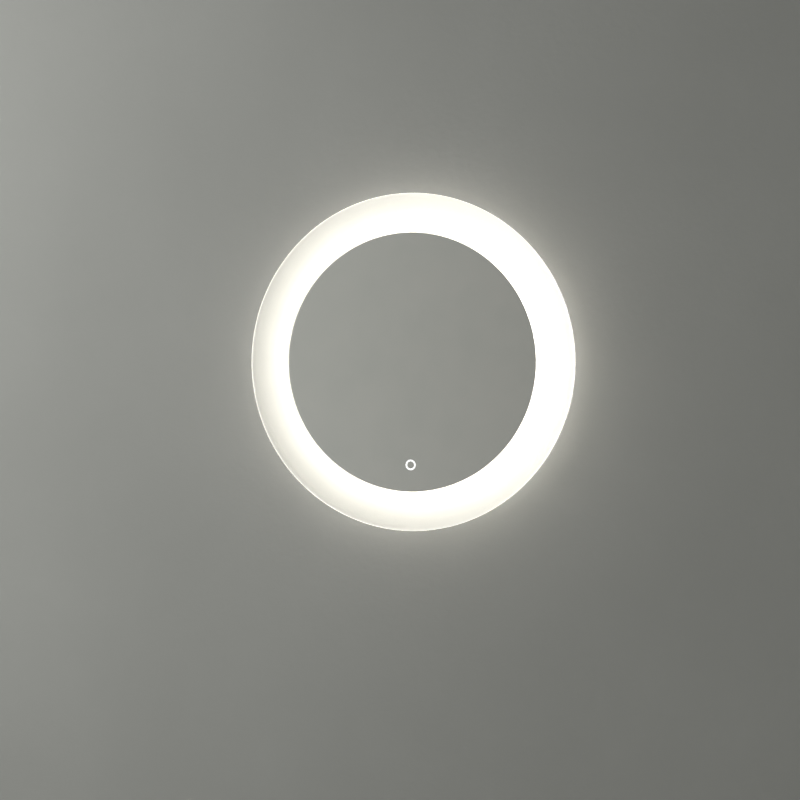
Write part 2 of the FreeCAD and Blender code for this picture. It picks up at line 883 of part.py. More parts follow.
def driver_lid():
    """Moulded lid that closes the tray."""
    body = plate(
        "driver_lid",
        "driver_lid_depth",
        "driver_split",
        lambda sketch: rectangle(
            sketch, "driver_x", "driver_z", "driver_length", "driver_height"
        ),
    )
    round_edges(body, "driver_wall", upright)
    sketch = new_sketch(body, "XZ_Plane", out="driver_split")
    inner_length = "driver_length - driver_wall * 2"
    inner_height = "driver_height - driver_wall * 2"
    rectangle(sketch, "driver_x", "driver_z", inner_length, inner_height)
    pocket(body, sketch, "driver_lid_depth - driver_wall", along_normal=True)


def driver_screws():
    body = new_body("driver_screws")
    for x in driver_screw_places():
        screw(
            body,
            x,
            "driver_z",
            "panel_front + driver_wall",
            ROOM,
            "screw_radius",
            "screw_head_radius",
            "screw_head_height",
            "screw_length",
        )
    on_glass_centre(body)


def driver_board():
    """Circuit board on the posts of the tray."""
    lost = "(driver_wall + board_clearance) * 2"
    plate(
        "driver_board",
        "board_thickness",
        "board_back",
        lambda sketch: rectangle(
            sketch, "driver_x", "driver_z", f"driver_length - {lost}", f"driver_height - {lost}"
        ),
    )


def transformer_core():
    """Ferrite core with two windows, standing on the board."""
    body = new_body("transformer_core")
    sketch = new_sketch(body, "XY_Plane", right="core_x", out="driver_z")
    middle = "-board_front - core_height / 2"
    window_width = "core_length / 2 - core_leg * 1.5"
    rectangle(sketch, "0", middle, "core_length", "core_height")
    for side in (-1, 1):
        x = f"{side} * (core_leg / 2 + ({window_width}) / 2)"
        rectangle(sketch, x, middle, window_width, "core_height - core_leg")
    pad(body, sketch, "core_thickness", symmetric=True)
    on_glass_centre(body)


def transformer_winding():
    """Copper winding round the middle leg of the core, filling its windows."""
    def draw(sketch):
        width = "core_length - core_leg * 2 - fit_gap"
        height = "core_thickness + winding_overhang * 2"
        rectangle(sketch, "core_x", "driver_z", width, height)
        rectangle(sketch, "core_x", "driver_z", "core_leg + fit_gap", "core_thickness + fit_gap")
    body = plate(
        "transformer_winding",
        "core_height - core_leg",
        "board_front + core_leg / 2",
        draw,
    )
    longest = "core_thickness + winding_overhang * 2"

    def outer_corner(edge):
        away = abs(edge.CenterOfMass.z - number("driver_z - hang_height"))
        return upright(edge) and away > number(longest) / 2 - 0.01
    round_edges(body, "winding_overhang / 2", outer_corner)


def lying_cans(name, spots, radius, length):
    """Capacitors that lie along X on the board."""
    body = new_body(name)
    for x, z in spots:
        sketch = new_sketch(body, "YZ_Plane", out=x)
        circle(sketch, f"-board_front - {radius}", z, radius)
        pad(body, sketch, length, symmetric=True)
    on_glass_centre(body)


def input_capacitor():
    lying_cans(
        "input_capacitor",
        (("driver_left + input_capacitor_inset", "driver_z"),),
        "input_capacitor_radius",
        "input_capacitor_length",
    )


def output_capacitors():
    gap = "(output_capacitor_radius + capacitor_gap / 2)"
    x = "driver_right - output_capacitor_inset"
    lying_cans(
        "output_capacitors",
        ((x, f"driver_z - {gap}"), (x, f"driver_z + {gap}")),
        "output_capacitor_radius",
        "output_capacitor_length",
    )


# ---- mains terminals and earth -----------------------------------------------------

POLES = ("1", "0", "-1")


def terminal_block():
    """Three-pole block: live, neutral and earth, with a screw well on each side."""
    body = plate(
        "terminal_block",
        "terminal_depth",
        "panel_front",
        lambda sketch: rectangle(
            sketch,
            "terminal_x",
            "driver_z",
            "terminal_width",
            "terminal_pole_pitch * 3 + terminal_margin * 2",
        ),
    )
    sketch = new_sketch(body, "XZ_Plane", out="terminal_front")
    for x, z in terminal_wells():
        circle(sketch, x, z, "terminal_well_radius")
    pocket(body, sketch, "terminal_well_depth")
    sketch = new_sketch(body, "XZ_Plane", out="terminal_front")
    circle(sketch, "terminal_x", "driver_z", "screw_radius + hole_clearance / 2")
    pocket(body, sketch, "terminal_depth")
    for side in (-1, 1):
        face = f"terminal_x + {side} * terminal_width / 2"
        sketch = new_sketch(body, "YZ_Plane", out=face)
        for pole in POLES:
            z = f"driver_z + {pole} * terminal_pole_pitch"
            circle(sketch, "-wire_depth", z, "mains_wire_radius + lead_clearance")
        pocket(body, sketch, "wire_entry_depth", along_normal=side < 0)


def terminal_wells():
    spots = []
    for pole in POLES:
        for side in (-1, 1):
            x = f"terminal_x + {side} * terminal_well_offset"
            spots.append((x, f"driver_z + {pole} * terminal_pole_pitch"))
    return spots


def terminal_screws():
    """Slotted clamp screws at the bottom of the wells."""
    body = new_body("terminal_screws")
    floor = "terminal_front - terminal_well_depth"
    for x, z in terminal_wells():
        sketch = new_sketch(body, "XZ_Plane", out=floor)
        circle(sketch, x, z, "terminal_screw_radius")
        pad(body, sketch, "terminal_screw_height")
    sketch = new_sketch(body, "XZ_Plane", out=f"{floor} + terminal_screw_height")
    slot_length = "terminal_screw_radius * 2.2"
    slot_width = "terminal_screw_radius * 0.4"
    for x, z in terminal_wells():
        rectangle(sketch, x, z, slot_length, slot_width)
    pocket(body, sketch, "terminal_screw_height * 0.4")
    on_glass_centre(body)


def terminal_fixing_screw():
    """Screw that fixes the block to the panel, between its poles."""
    body = new_body("terminal_fixing_screw")
    screw(
        body,
        "terminal_x",
        "driver_z",
        "terminal_front",
        ROOM,
        "screw_radius",
        "screw_head_radius * 0.8",
        "screw_head_height",
        "terminal_depth + screw_length / 2",
    )
    on_glass_centre(body)


def earth_tag():
    """Ring tag with a crimped barrel, flat on the panel under the earth screw."""
    body = new_body("earth_tag")
    sketch = new_sketch(body, "XZ_Plane", out="panel_front")
    circle(sketch, "earth_x", "earth_z", "tag_ring_radius")
    circle(sketch, "earth_x", "earth_z", "screw_radius + hole_clearance / 2")
    pad(body, sketch, "tag_thickness")
    sketch = new_sketch(body, "XZ_Plane", out="panel_front")
    middle = "earth_z + tag_ring_radius - tag_overlap + tag_barrel_length / 2"
    rectangle(sketch, "earth_x", middle, "tag_barrel_width", "tag_barrel_length")
    pad(body, sketch, "tag_barrel_width")
    on_glass_centre(body)


def earth_screw():
    body = new_body("earth_screw")
    screw(
        body,
        "earth_x",
        "earth_z",
        "panel_front + tag_thickness",
        ROOM,
        "screw_radius",
        "screw_head_radius",
        "screw_head_height",
        "screw_length",
    )
    on_glass_centre(body)


# ---- touch sensor ------------------------------------------------------------------

SENSOR_Z = "-icon_drop"


def icon_light_guide():
    """Clear disc behind the cleared ring, lit from the sensor board."""
    plate(
        "icon_light_guide",
        "guide_thickness",
        "guide_back",
        lambda sketch: circle(sketch, "0", SENSOR_Z, "guide_radius"),
    )


def sensor_housing():
    """Moulded box glued to the film, open to the back, with a hole for the guide."""
    body = plate(
        "sensor_housing",
        "sensor_depth - sensor_wall",
        "sensor_back + sensor_wall",
        lambda sketch: rectangle(sketch, "0", SENSOR_Z, "sensor_length", "sensor_height"),
    )
    sketch = new_sketch(body, "XZ_Plane", out="sensor_back + sensor_wall")
    inner_length = "sensor_length - sensor_wall * 2"
    rectangle(sketch, "0", SENSOR_Z, inner_length, "sensor_height - sensor_wall * 2")
    pocket(body, sketch, "sensor_depth - sensor_wall * 2", along_normal=True)
    sketch = new_sketch(body, "XZ_Plane", out="tape_front")
    circle(sketch, "0", SENSOR_Z, "guide_radius + hole_clearance")
    pocket(body, sketch, "sensor_wall")
    # the board rests on a ledge at each end of the box
    sketch = new_sketch(body, "XZ_Plane", out="sensor_board_front")
    for side in (-1, 1):
        x = f"{side} * (sensor_length / 2 - sensor_wall - sensor_ledge / 2)"
        rectangle(sketch, x, SENSOR_Z, "sensor_ledge", "sensor_height - sensor_wall * 2")
    pad(body, sketch, "tape_front - sensor_wall - sensor_board_front")
    for side, radius in ((-1, "strip_lead_radius"), (1, "output_lead_radius")):
        sketch = new_sketch(body, "YZ_Plane", out=f"{side} * sensor_length / 2")
        circle(sketch, "-sensor_lead_depth", SENSOR_Z, f"{radius} + lead_clearance")
        pocket(body, sketch, "sensor_wall", along_normal=side < 0)


def sensor_lid():
    """Flat cover of the sensor box, with a lip that fits inside it."""
    body = plate(
        "sensor_lid",
        "sensor_wall",
        "sensor_back",
        lambda sketch: rectangle(sketch, "0", SENSOR_Z, "sensor_length", "sensor_height"),
    )
    sketch = new_sketch(body, "XZ_Plane", out="sensor_back + sensor_wall")
    lost = "(sensor_wall + fit_gap) * 2"
    for lip in ("0", "sensor_lip"):
        length = f"sensor_length - {lost} - sensor_lip_inset * 2 - {lip} * 2"
        rectangle(sketch, "0", SENSOR_Z, length, f"sensor_height - {lost} - {lip} * 2")
    pad(body, sketch, "sensor_board_back - sensor_back - sensor_wall")


def sensor_board():
    lost = "(sensor_wall + fit_gap) * 2"
    plate(
        "sensor_board",
        "sensor_board_thickness",
        "sensor_board_back",
        lambda sketch: rectangle(
            sketch, "0", SENSOR_Z, f"sensor_length - {lost}", f"sensor_height - {lost}"
        ),
    )


def sensor_leds():
    """Four LEDs on the board under the lit ring."""
    body = new_body("sensor_leds")
    spread = "(icon_outer_radius + icon_inner_radius) / 2"
    sketch = new_sketch(body, "XZ_Plane", out="sensor_board_front")
    for a, b in ((1, 0), (0, 1), (-1, 0), (0, -1)):
        x = f"{a} * {spread}"
        z = f"{SENSOR_Z} + {b} * {spread}"
        rectangle(sketch, x, z, "sensor_led_size", "sensor_led_size")
    pad(body, sketch, "sensor_led_height")
    on_glass_centre(body)


# ---- internal leads ----------------------------------------------------------------


def rounded_route(points):
    """Straight runs joined by tangent arcs, each as large as its two runs allow."""
    edges = []
    start = points[0]
    for before, corner, after in zip(points, points[1:], points[2:]):
        incoming = (corner - before).normalize()
        outgoing = (after - corner).normalize()
        half_turn = incoming.getAngle(outgoing) / 2
        shorter = min(before.distanceToPoint(corner), corner.distanceToPoint(after))
        reach = 0.45 * shorter
        radius = reach / math.tan(half_turn)
        inward = (outgoing - incoming).normalize()
        arc_start = corner - incoming * reach
        arc_middle = corner + inward * (radius / math.cos(half_turn) - radius)
        arc_end = corner + outgoing * reach
        edges.append(Part.LineSegment(start, arc_start).toShape())
        edges.append(Part.Arc(arc_start, arc_middle, arc_end).toShape())
        print(f"  bend radius {radius:.1f}")
        start = arc_end
    edges.append(Part.LineSegment(start, points[-1]).toShape())
    return Part.Wire(edges)


def lead_shape(points, radius):
    """A round lead along points of (x, depth, z)."""
    spots = [FreeCAD.Vector(x, -depth, z) for x, depth, z in points]
    path = rounded_route(spots)
    direction = spots[1] - spots[0]
    section = Part.Wire(Part.Circle(spots[0], direction, radius).toShape())
    tube = path.makePipeShell([section], True, False)
    expected = math.pi * radius ** 2 * path.Length
    print(f"  length {path.Length:.1f}, volume {tube.Volume:.1f} of {expected:.1f}")
    return tube


def lead(name, routes, radius):
    """One node of one or more leads, in the frame of the glass centre."""
    print(name)
    item = doc.addObject("Part::Feature", name)
    item.Label = name
    tubes = [lead_shape(points, number(radius)) for points in routes]
    item.Shape = tubes[0] if len(tubes) == 1 else Part.makeCompound(tubes)
    on_glass_centre(item)


def by_ring(angle, inset, depth):
    """A lead's point, inset from the chassis flange at an angle round the centre."""
    radius = number("flange_inner_radius") - number("lead_inset") * inset
    bearing = math.radians(angle)
    return (radius * math.cos(bearing), depth, radius * math.sin(bearing))


def driver_input_leads():
    """Live and neutral, from the terminal block into the driver."""
    start_x = number("terminal_x + terminal_width / 2 - wire_entry_depth")
    end_x = number("driver_left + driver_wall + lead_tail")
    block_depth = number("wire_depth")
    driver_depth = number("wire_depth + driver_wall")
    stub = number("wire_stub")
    routes = []
    for pole, offset in zip(POLES, reversed(DRIVER_WIRES)):
        start_z = number(f"driver_z + {pole} * terminal_pole_pitch")
        end_z = number(f"driver_z + {offset}")
        routes.append(
            (
                (start_x, block_depth, start_z),
                (start_x + stub, block_depth, start_z),
                (end_x - stub, driver_depth, end_z),
                (end_x, driver_depth, end_z),
            )
        )
    lead("driver_input_leads", routes, "mains_wire_radius")


def earth_lead():
    """Earth, from the terminal block to the barrel of its ring tag."""
    start_x = number("terminal_x + terminal_width / 2 - wire_entry_depth")
    start_z = number("driver_z - terminal_pole_pitch")
    depth = number("wire_depth")
    tag_depth = number("panel_front + tag_barrel_width / 2")
    tag_x = number("earth_x")
    tag_z = number("earth_z + tag_ring_radius - tag_overlap + tag_barrel_length")
    stub = number("wire_stub")
    route = (
        (start_x, depth, start_z),
        (start_x + stub, depth, start_z),
        (tag_x, tag_depth, tag_z + stub),
        (tag_x, tag_depth, tag_z),
    )
    lead("earth_lead", (route,), "mains_wire_radius")


def driver_output_lead():
    """Low-voltage lead, from the driver round the cavity to the touch sensor."""
    start_x = number("driver_right - driver_wall - lead_tail")
    driver_depth = number("wire_depth + driver_wall")
    driver_z = number("driver_z")
    low = number("lead_depth")
    stub = number("lead_stub")
    clip_x = number("clip_x")
    run_top = number("clip_run_middle + clip_run / 2")
    run_bottom = number("clip_run_middle - clip_run / 2")
    sensor_x = number("sensor_length / 2 - sensor_wall - lead_tail")
    sensor_depth = number("sensor_lead_depth")
    sensor_z = number(SENSOR_Z)
    route = (
        (start_x, driver_depth, driver_z),
        (start_x + stub, driver_depth, driver_z),
        (clip_x - stub / 2, (driver_depth + low) / 2, run_top + stub * 1.4),
        (clip_x, low, run_top),
        (clip_x, low, run_bottom),
        by_ring(-34.5, 2.0, low),
        by_ring(-52.7, 1.7, (low * 2 + sensor_depth) / 3),
        by_ring(-69.4, 1.0, (low + sensor_depth * 2) / 3),
        (sensor_x + stub, sensor_depth, sensor_z),
        (sensor_x, sensor_depth, sensor_z),
    )
    lead("driver_output_lead", (route,), "output_lead_radius")


def strip_lead():
    """Switched lead, from the touch sensor through the bush to the strip connector."""
    sensor_x = -number("sensor_length / 2 - sensor_wall - lead_tail")
    sensor_depth = number("sensor_lead_depth")
    sensor_z = number(SENSOR_Z)
    strip_depth = number("strip_depth")
    stub = number("lead_stub")
    bearing = math.radians(number("exit_angle"))
    end_radius = number("chassis_radius + bush_flange + fit_gap")
    route = [
        (sensor_x, sensor_depth, sensor_z),
        (sensor_x - stub, sensor_depth, sensor_z),
        by_ring(242.9, 0.6, (sensor_depth + strip_depth) / 2),
        by_ring(227.7, 1.0, strip_depth),
        by_ring(213.6, 1.3, strip_depth),
    ]
    for radius in (end_radius - stub, end_radius):
        x = radius * math.cos(bearing)
        route.append((x, strip_depth, radius * math.sin(bearing)))
    lead("strip_lead", (route,), "strip_lead_radius")


def lead_clips():
    """Stick-on clips that hold the output lead to the panel."""
    body = new_body("lead_clips")
    half = "(output_lead_radius + clip_clearance)"
    for side in (-1, 1):
        middle = f"clip_run_middle + {side} * clip_spacing / 2"
        sketch = new_sketch(body, "XY_Plane", right="clip_x", out=middle)
        rectangle(
            sketch,
            "0",
            f"-(panel_front * 2 + lead_height + {half} + clip_margin) / 2",
            f"{half} * 2 + clip_margin * 2",
            f"lead_height + {half} + clip_margin",
        )
        circle(sketch, "0", "-lead_depth", half)
        pad(body, sketch, "clip_length", symmetric=True)
    on_glass_centre(body)


BUILDERS = (
    mirror_glass,
    mirror_silvering,
    safety_film,
    bonding_tape,
    chassis_ring,
    opal_diffuser,
    led_strip,
    led_packages,
    strip_connector,
    lead_bush,
    back_panel,
    back_panel_screws,
    cable_grommet,
    wall_rail,
    hanger_rail,
    hanger_rivets,
    wall_bumpers,
    driver_base,
    driver_lid,
    driver_screws,
    driver_board,
    transformer_core,
    transformer_winding,
    input_capacitor,
    output_capacitors,
    terminal_block,
    terminal_screws,
    terminal_fixing_screw,
    earth_tag,
    earth_screw,
    icon_light_guide,
    sensor_housing,
    sensor_lid,
    sensor_board,
    sensor_leds,
    driver_input_leads,
    earth_lead,
    driver_output_lead,
    strip_lead,
    lead_clips,
)
for build in BUILDERS:
    build()
doc.recompute()

for item in doc.Objects:
    if "Invalid" in item.State or "Error" in item.State:
        raise RuntimeError(f"{item.Label} failed: {item.State}")

os.makedirs("parts", exist_ok=True)
pieces = [doc.getObject(build.__name__) for build in BUILDERS]
for piece in pieces:
    if piece.Shape.isNull() or not piece.Shape.isValid():
        raise RuntimeError(f"{piece.Label} has no valid shape")
for piece in pieces:
    piece.Shape.exportStep(f"parts/{piece.Label}.step")
    print(f"{piece.Label}: {len(piece.Shape.Solids)} solids, {piece.Shape.Volume:.0f} mm3")
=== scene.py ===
import math

import bpy
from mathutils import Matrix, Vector


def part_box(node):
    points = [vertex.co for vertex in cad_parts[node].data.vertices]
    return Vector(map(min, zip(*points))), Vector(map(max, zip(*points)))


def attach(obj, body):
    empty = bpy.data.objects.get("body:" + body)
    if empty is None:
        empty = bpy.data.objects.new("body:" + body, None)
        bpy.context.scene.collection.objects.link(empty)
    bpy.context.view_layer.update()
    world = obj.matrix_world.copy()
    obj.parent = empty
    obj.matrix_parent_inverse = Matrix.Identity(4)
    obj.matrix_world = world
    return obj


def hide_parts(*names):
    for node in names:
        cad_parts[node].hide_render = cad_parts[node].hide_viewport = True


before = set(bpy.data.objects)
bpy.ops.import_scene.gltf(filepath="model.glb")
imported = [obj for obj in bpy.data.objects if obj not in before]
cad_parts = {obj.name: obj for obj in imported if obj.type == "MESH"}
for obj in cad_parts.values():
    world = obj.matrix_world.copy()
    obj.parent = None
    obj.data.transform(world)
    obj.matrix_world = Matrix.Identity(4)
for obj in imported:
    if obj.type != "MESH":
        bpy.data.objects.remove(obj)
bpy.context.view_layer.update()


# ---------------------------------------------------------------------------
# Camera. The photograph was taken from the right, about 17 degrees round and
# level with the glass, with a long lens, so the uprights stay almost parallel.
glass_centre = Vector((0, -0.040, -0.120))
camera_round, camera_up, camera_distance = math.radians(17.1), math.radians(0.25), 4.78
camera_pitch, camera_turn = math.radians(-1.055), math.radians(17.314)
lens_mm, film_mm = 121.3, 36

bpy.ops.object.select_all(action="DESELECT")
bpy.ops.object.camera_add(
    location=glass_centre + camera_distance * Vector((
        math.sin(camera_round) * math.cos(camera_up),
        -math.cos(camera_round) * math.cos(camera_up),
        math.sin(camera_up),
    )),
    rotation=(math.radians(90) + camera_pitch, 0, camera_turn),
)
camera = bpy.context.object
camera.name = "photograph_camera"
camera.data.lens = lens_mm
camera.data.sensor_width = film_mm
bpy.context.scene.camera = camera
bpy.context.scene.view_settings.view_transform = "Standard"


# ---------------------------------------------------------------------------
# Wall. Smooth grey plaster behind the mirror takes the glow of its light. It
# is there for the camera and through glass, and gone when seen from behind.
def linear(colour):
    """An sRGB hex colour as linear RGBA."""
    parts = [int(colour[i:i + 2], 16) / 255 for i in (1, 3, 5)]
    return [c / 12.92 if c <= 0.04045 else ((c + 0.055) / 1.055) ** 2.4 for c in parts] + [1]


def put(material, made, sockets):
    """Links or sets the sockets of one node."""
    for socket, value in sockets.items():
        if isinstance(value, bpy.types.NodeSocket):
            material.node_tree.links.new(value, made.inputs[socket])
        else:
            made.inputs[socket].default_value = value
    return made


def add(material, kind, sockets=(), **settings):
    """Adds one node with its settings and links, and returns it."""
    made = material.node_tree.nodes.new("ShaderNode" + kind)
    for name, value in settings.items():
        setattr(made, name, value)
    return put(material, made, dict(sockets))


def shade(node, *stops):
    """Gives a colour ramp its stops, as (place, sRGB hex colour)."""
    elements = node.color_ramp.elements
    while len(elements) > 1:
        elements.remove(elements[-1])
    for i, (place, colour) in enumerate(stops):
        stop = elements.new(place) if i else elements[0]
        stop.position, stop.color = place, linear(colour)
    return node.outputs["Color"]


def new_material(name):
    """A new material with its Principled shader."""
    made = bpy.data.materials.new(name)
    made.use_nodes = True
    return made, made.node_tree.nodes["Principled BSDF"]


upright = (math.radians(90), 0, 0)  # the turn that stands a flat piece up
floor_level, wall_size = -1.62, 5.2
wall_cloud_mm, stipple_mm, stipple_depth = 400, 14, 0.001
# Nearly all the values of a noise texture lie between these two.
noise_low, noise_high = 0.3, 0.7

bpy.ops.object.select_all(action="DESELECT")
bpy.ops.mesh.primitive_plane_add(size=wall_size, location=(0, 0, floor_level + wall_size / 2),
                                 rotation=upright)
wall = bpy.context.object
wall.name = "backdrop_wall"
bpy.ops.object.transform_apply(location=True, rotation=True, scale=True)

# Skimmed and painted: cloudy by a grey or two, with the soft stipple of a roller.
grey_plaster, shader = new_material("grey_plaster")
spot = add(grey_plaster, "TexCoord").outputs["Object"]
cloud = add(grey_plaster, "TexNoise", {"Vector": spot, "Scale": 1000 / wall_cloud_mm, "Detail": 4})
tone = add(grey_plaster, "ValToRGB", {"Fac": cloud.outputs["Fac"]})
nap = add(grey_plaster, "TexNoise", {
    "Vector": spot, "Scale": 1000 / stipple_mm, "Detail": 4, "Roughness": 0.6,
})
relief = add(grey_plaster, "Bump", {
    "Height": nap.outputs["Fac"], "Strength": 0.35, "Distance": stipple_depth,
})
put(grey_plaster, shader, {
    "Base Color": shade(tone, (noise_low, "#878884"), (noise_high, "#8b8c88")),
    "Normal": relief.outputs[0], "Roughness": 0.9, "Specular IOR Level": 0.2,
})
# Only the camera and rays through glass meet it, and only from the front.
rays = add(grey_plaster, "LightPath")
seen = add(grey_plaster, "Math", {
    0: rays.outputs["Is Camera Ray"], 1: rays.outputs["Is Transmission Ray"],
}, operation="MAXIMUM")
turned = add(grey_plaster, "NewGeometry")
front = add(grey_plaster, "Math", {0: 1.0, 1: turned.outputs["Backfacing"]}, operation="SUBTRACT")
solid = add(grey_plaster, "Math", {0: seen.outputs[0], 1: front.outputs[0]}, operation="MULTIPLY")
gone = add(grey_plaster, "BsdfTransparent")
one_sided = add(grey_plaster, "MixShader", {0: solid.outputs[0], 1: gone.outputs[0], 2: shader.outputs[0]})
put(grey_plaster, grey_plaster.node_tree.nodes["Material Output"], {"Surface": one_sided.outputs[0]})
wall.data.materials.append(grey_plaster)


# ---------------------------------------------------------------------------
# Floor and light. A pale screed floor lies below the picture. The even light
# is the world's, and a wide soft lamp stands on the window side, the left.
floor_size, floor_clouds_per_metre = 24, 6
lamp_place, lamp_size, lamp_watts = (-1.9, -1.2, 0.5), 2.0, 61
light_in_front, light_behind = 0.28, 0.95

bpy.ops.object.select_all(action="DESELECT")
bpy.ops.mesh.primitive_plane_add(size=floor_size, location=(0, 0, floor_level))
floor = bpy.context.object
floor.name = "pale_floor"
bpy.ops.object.transform_apply(location=True, rotation=True, scale=True)

# Trowelled smooth and sealed: half matt, with clouds a grey or two apart.
pale_screed, shader = new_material("pale_screed")
spot = add(pale_screed, "TexCoord").outputs["Object"]
cloud = add(pale_screed, "TexNoise", {"Vector": spot, "Scale": floor_clouds_per_metre, "Detail": 4})
tone = add(pale_screed, "ValToRGB", {"Fac": cloud.outputs["Fac"]})
put(pale_screed, shader, {
    "Base Color": shade(tone, (noise_low, "#d3d3cf"), (noise_high, "#d9d9d5")), "Roughness": 0.7,
})
floor.data.materials.append(pale_screed)

# What the mirror shows is the plain room across from it: grey, lighter on the left.
# The side behind the wall, which only the back of the mirror sees, is brighter. One grey
# turns into the next between two values of the X, the Z and the Y of the line of sight.
left_ends, right_begins = -0.42, -0.16
low_ends, high_begins = -0.1, 0.8
front_ends, back_begins = 0.0, 0.35

room = bpy.data.worlds.new("plain_grey_room")
bpy.context.scene.world = room
room.use_nodes = True
towards = add(room, "SeparateXYZ", {0: add(room, "TexCoord").outputs["Generated"]})
across = add(room, "MapRange", {
    "Value": towards.outputs["X"], "From Min": left_ends, "From Max": right_begins,
}, interpolation_type="SMOOTHSTEP")
ahead = add(room, "ValToRGB", {"Fac": across.outputs[0]})
shade(ahead, (0.0, "#afb0ac"), (1.0, "#868682"))
upwards = add(room, "MapRange", {
    "Value": towards.outputs["Z"], "From Min": low_ends, "From Max": high_begins,
})
behind = add(room, "ValToRGB", {"Fac": upwards.outputs[0]})
shade(behind, (0.0, "#d0d0cd"), (1.0, "#f4f4f2"))
back = add(room, "MapRange", {
    "Value": towards.outputs["Y"], "From Min": front_ends, "From Max": back_begins,
}, interpolation_type="SMOOTHSTEP")
# The two colours of a Mix node are its sockets 6 and 7, and the mixed one is its output 2.
tone = add(room, "Mix", {
    0: back.outputs[0], 6: ahead.outputs["Color"], 7: behind.outputs["Color"],
}, data_type="RGBA")
shown = put(room, room.node_tree.nodes["Background"], {"Color": tone.outputs[2]})
level = add(room, "MapRange", {
    "Value": back.outputs[0], "To Min": light_in_front, "To Max": light_behind,
})
even = add(room, "Background", {"Color": linear("#f8f8f6"), "Strength": level.outputs[0]})
rays = add(room, "LightPath")
seen = add(room, "Math", {0: rays.outputs["Is Camera Ray"], 1: rays.outputs["Is Glossy Ray"]},
           operation="MAXIMUM")
seen = add(room, "Math", {0: seen.outputs[0], 1: rays.outputs["Is Transmission Ray"]}, operation="MAXIMUM")
both = add(room, "MixShader", {0: seen.outputs[0], 1: even.outputs[0], 2: shown.outputs[0]})
put(room, room.node_tree.nodes["World Output"], {"Surface": both.outputs[0]})

bpy.ops.object.light_add(type="AREA", location=lamp_place)
window_lamp = bpy.context.object
window_lamp.name = "window_lamp"
window_lamp.data.size = lamp_size
window_lamp.data.energy = lamp_watts
window_lamp.rotation_euler = (glass_centre - window_lamp.location).to_track_quat("-Z", "Y").to_euler()
window_lamp.visible_glossy = False
window_lamp.visible_transmission = False
# So large and soft a light leaves no shadow of the mirror on the wall: only the floor blocks it.
shadow_makers = bpy.data.collections.new("shadow_makers")
shadow_makers.objects.link(floor)
window_lamp.light_linking.blocker_collection = shadow_makers


# ---------------------------------------------------------------------------
# Mirror glass. A round 600 mm plate of 5 mm float glass, its edge ground and
# polished. The 70 mm border is etched: light from behind shows through it,
# and a painted glow on it stands in for the light it scatters.
def dress(material, *names):
    """Gives CAD nodes their finish."""
    for name in names:
        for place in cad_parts[name].material_slots:
            place.material = material


def from_centre(material, spot):
    """The distance of a point from the glass's own axis."""
    moved = add(material, "VectorMath", {0: spot, 1: (0, 0, -glass_centre.z)}, operation="ADD")
    flat = add(material, "VectorMath", {0: moved.outputs[0], 1: (1, 0, 1)}, operation="MULTIPLY")
    return add(material, "VectorMath", {0: flat.outputs[0]}, operation="LENGTH").outputs["Value"]


glass_radius, silver_radius = 0.300, 0.230
glass_front, glass_back, arris = -0.040, -0.035, 0.0012
etch_grain_mm, etch_depth, front_skin = 2.0, 0.0005, 0.0004
matt_least, matt_most, front_share = 0.34, 0.46, 0.5
# Painted glow of the etched border: its strength inside and out, and its painted shade at both sides.
glow_inside, glow_outside = 0.60, 0.24
shade_at_dim_side, shade_at_bright_side = 1.0, -0.12
sparkle_least, sparkle_most = 0.6, 1.4
rim_inset, rim_half_width, rim_strength = 0.0013, 0.0007, 0.85
# The painted glow is brightest towards this angle, and its painted shade is darkest opposite it.
brightest_glow_angle = math.radians(18)

# Clear inside the border. The etch is a fine tooth, far too fine to show, so it is drawn
# as 2 mm grains: it scatters what lies behind it, and carries a painted glow, grainy
# with the same grains, that stands in for the light in the plate.
etched_float_glass, shader = new_material("etched_float_glass")
spot = add(etched_float_glass, "TexCoord").outputs["Object"]
radius = from_centre(etched_float_glass, spot)
depth = add(etched_float_glass, "SeparateXYZ", {0: spot}).outputs["Y"]
border = add(etched_float_glass, "Math", {0: radius, 1: silver_radius}, operation="GREATER_THAN")
within = add(etched_float_glass, "Math", {0: radius, 1: glass_radius - arris}, operation="LESS_THAN")
etched = add(etched_float_glass, "Math", {0: border.outputs[0], 1: within.outputs[0]},
             operation="MULTIPLY")
front = add(etched_float_glass, "Math", {0: depth, 1: glass_front + front_skin}, operation="LESS_THAN")
grit = add(etched_float_glass, "TexNoise", {"Vector": spot, "Scale": 1000 / etch_grain_mm, "Detail": 1})
tooth = add(etched_float_glass, "MapRange", {
    "Value": grit.outputs["Fac"], "From Min": noise_low, "From Max": noise_high,
    "To Min": matt_least, "To Max": matt_most,
})
finer = add(etched_float_glass, "MapRange", {
    "Value": front.outputs[0], "To Min": 1.0, "To Max": front_share,
})
matt = add(etched_float_glass, "Math", {0: tooth.outputs[0], 1: finer.outputs[0]}, operation="MULTIPLY")
matt = add(etched_float_glass, "Math", {0: matt.outputs[0], 1: etched.outputs[0]}, operation="MULTIPLY")
tint = add(etched_float_glass, "ValToRGB", {"Fac": grit.outputs["Fac"]})
shade(tint, (0.36, "#e6e3da"), (0.62, "#fffffe"))
body = add(etched_float_glass, "Mix", {
    0: etched.outputs[0], 6: linear("#fefefd"), 7: tint.outputs["Color"],
}, data_type="RGBA")
